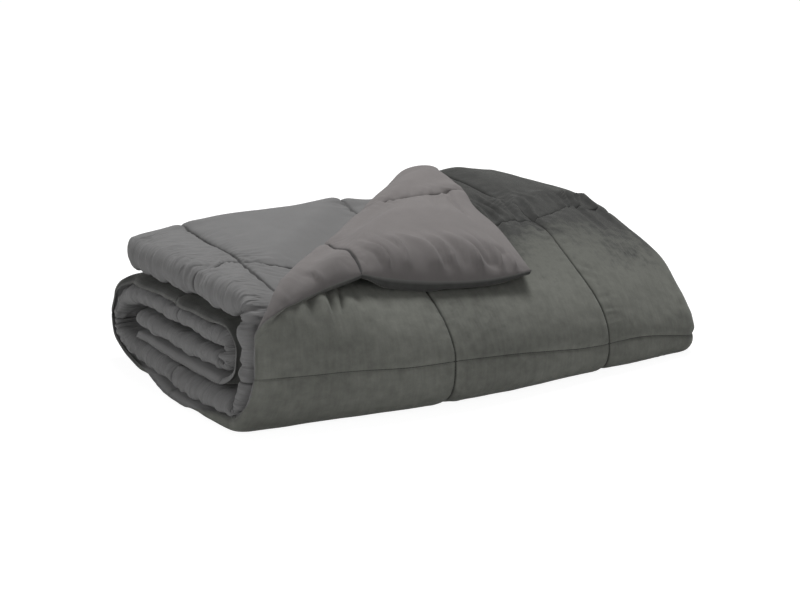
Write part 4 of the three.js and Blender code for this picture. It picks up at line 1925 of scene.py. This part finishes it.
@dataclass
class Studio:
    """A pale floor, soft plain light and a long lens."""

    azimuth: float = math.radians(-32.0)
    elevation: float = math.radians(15.3)
    distance: float = 3.4408
    lens: float = 103.5
    sensor: float = 36.0
    aim: tuple[float, float, float] = (-0.0258, 0.0042, -0.0363)
    floor_side: float = 60.0
    floor_grey: float = 0.75
    floor_shows: float = 0.30
    floor_glow: float = 0.93
    room_light: float = 0.13
    lit_at: tuple[float, float, float] = (0.0, 0.0, 0.1)
    lamps: tuple[Lamp, ...] = (
        Lamp("key", (0.6, 0.5, 3.2), 1.2, 82.0),
        Lamp("front", (1.2, -3.3, 1.7), 2.2, 10.5),
        Lamp("fill", (-3.1, -1.2, 0.9), 2.0, 30.0),
    )

    def camera(self) -> None:
        """Makes the camera: it looks at the bundle's middle from its near open corner."""
        low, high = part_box("duvet")
        centre = (Vector(low) + Vector(high)) / 2 + Vector(self.aim)
        a, e = self.azimuth, self.elevation
        back = Vector((math.sin(a) * math.cos(e), -math.cos(a) * math.cos(e), math.sin(e)))
        right = Vector((math.cos(a), math.sin(a), 0))
        up = back.cross(right)
        data = bpy.data.cameras.new("camera")
        data.lens, data.sensor_width = self.lens, self.sensor
        camera = bpy.data.objects.new("camera", data)
        camera.location = centre + back * self.distance
        camera.rotation_euler = Matrix((right, up, back)).transposed().to_euler()
        bpy.context.scene.collection.objects.link(camera)
        bpy.context.scene.camera = camera

    def _white(self) -> bpy.types.Material:
        """A diffuse floor that shows white to the camera except where the object shades it.

        Returns:
            The material.
        """
        s = Shader("floor")
        greys = (self.floor_grey, self.floor_shows)
        matt, pale = (s.node("ShaderNodeBsdfDiffuse", {}, {"Color": grey(g)}) for g in greys)
        glow = s.node("ShaderNodeEmission", {}, {"Color": grey(1.0), "Strength": self.floor_glow})
        both = s.node("ShaderNodeAddShader", {}, {0: pale, 1: glow})
        s.show(s.either(s.seen(), matt, both))
        return s.owner

    def floor(self) -> None:
        """Makes the floor that the bundle lies on."""
        half = self.floor_side / 2
        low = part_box("duvet")[0][2]
        corners = [(-half, -half), (half, -half), (half, half), (-half, half)]
        points = np.array([(x, y, low) for x, y in corners])
        floor = mesh_piece("floor", points, np.array([[0, 1, 2, 3]]), points[:, :2])
        floor.data.materials.append(self._white())

    def light(self) -> None:
        """Lights the bundle softly from above and behind, with fills in front and at the left."""
        for lamp in self.lamps:
            data = bpy.data.lights.new(lamp.name, "AREA")
            data.shape, data.size, data.energy = "SQUARE", lamp.side, lamp.power
            piece = bpy.data.objects.new(lamp.name, data)
            piece.location = lamp.at
            away = Vector(lamp.at) - Vector(self.lit_at)
            piece.rotation_euler = away.to_track_quat("Z", "Y").to_euler()
            bpy.context.scene.collection.objects.link(piece)

    def surround(self) -> None:
        """Makes the room: white where it is seen, and a faint even light on the bundle."""
        s = Shader("room", Owner.WORLD)
        light, shown = (
            s.node("ShaderNodeBackground", {}, {"Color": grey(1.0), "Strength": strength})
            for strength in (self.room_light, 1.0)
        )
        s.show(s.either(s.seen(), light, shown))
        bpy.context.scene.world = s.owner

    def build(self) -> None:
        """Sets the stage and the plain colour transform."""
        self.camera()
        self.floor()
        self.light()
        self.surround()
        bpy.context.scene.view_settings.view_transform = "Standard"


# ---- the whole scene ----


def main() -> None:
    """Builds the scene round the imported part."""
    logging.basicConfig(level=logging.INFO, format="%(message)s")
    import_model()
    Studio().build()
    body, thread = Duvet().build()
    for finish in (PlushFinish(), BrushedFinish()):
        body.data.materials.append(finish.material())
    thread.data.materials.append(ThreadFinish().material())
    for piece, slot in ((body, "plush_face"), (thread, "quilting_thread")):
        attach(piece, "root")
        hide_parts("duvet")
        log.info("%s: %d faces", piece.name, len(piece.data.polygons))


if __name__ == "__main__":
    main()
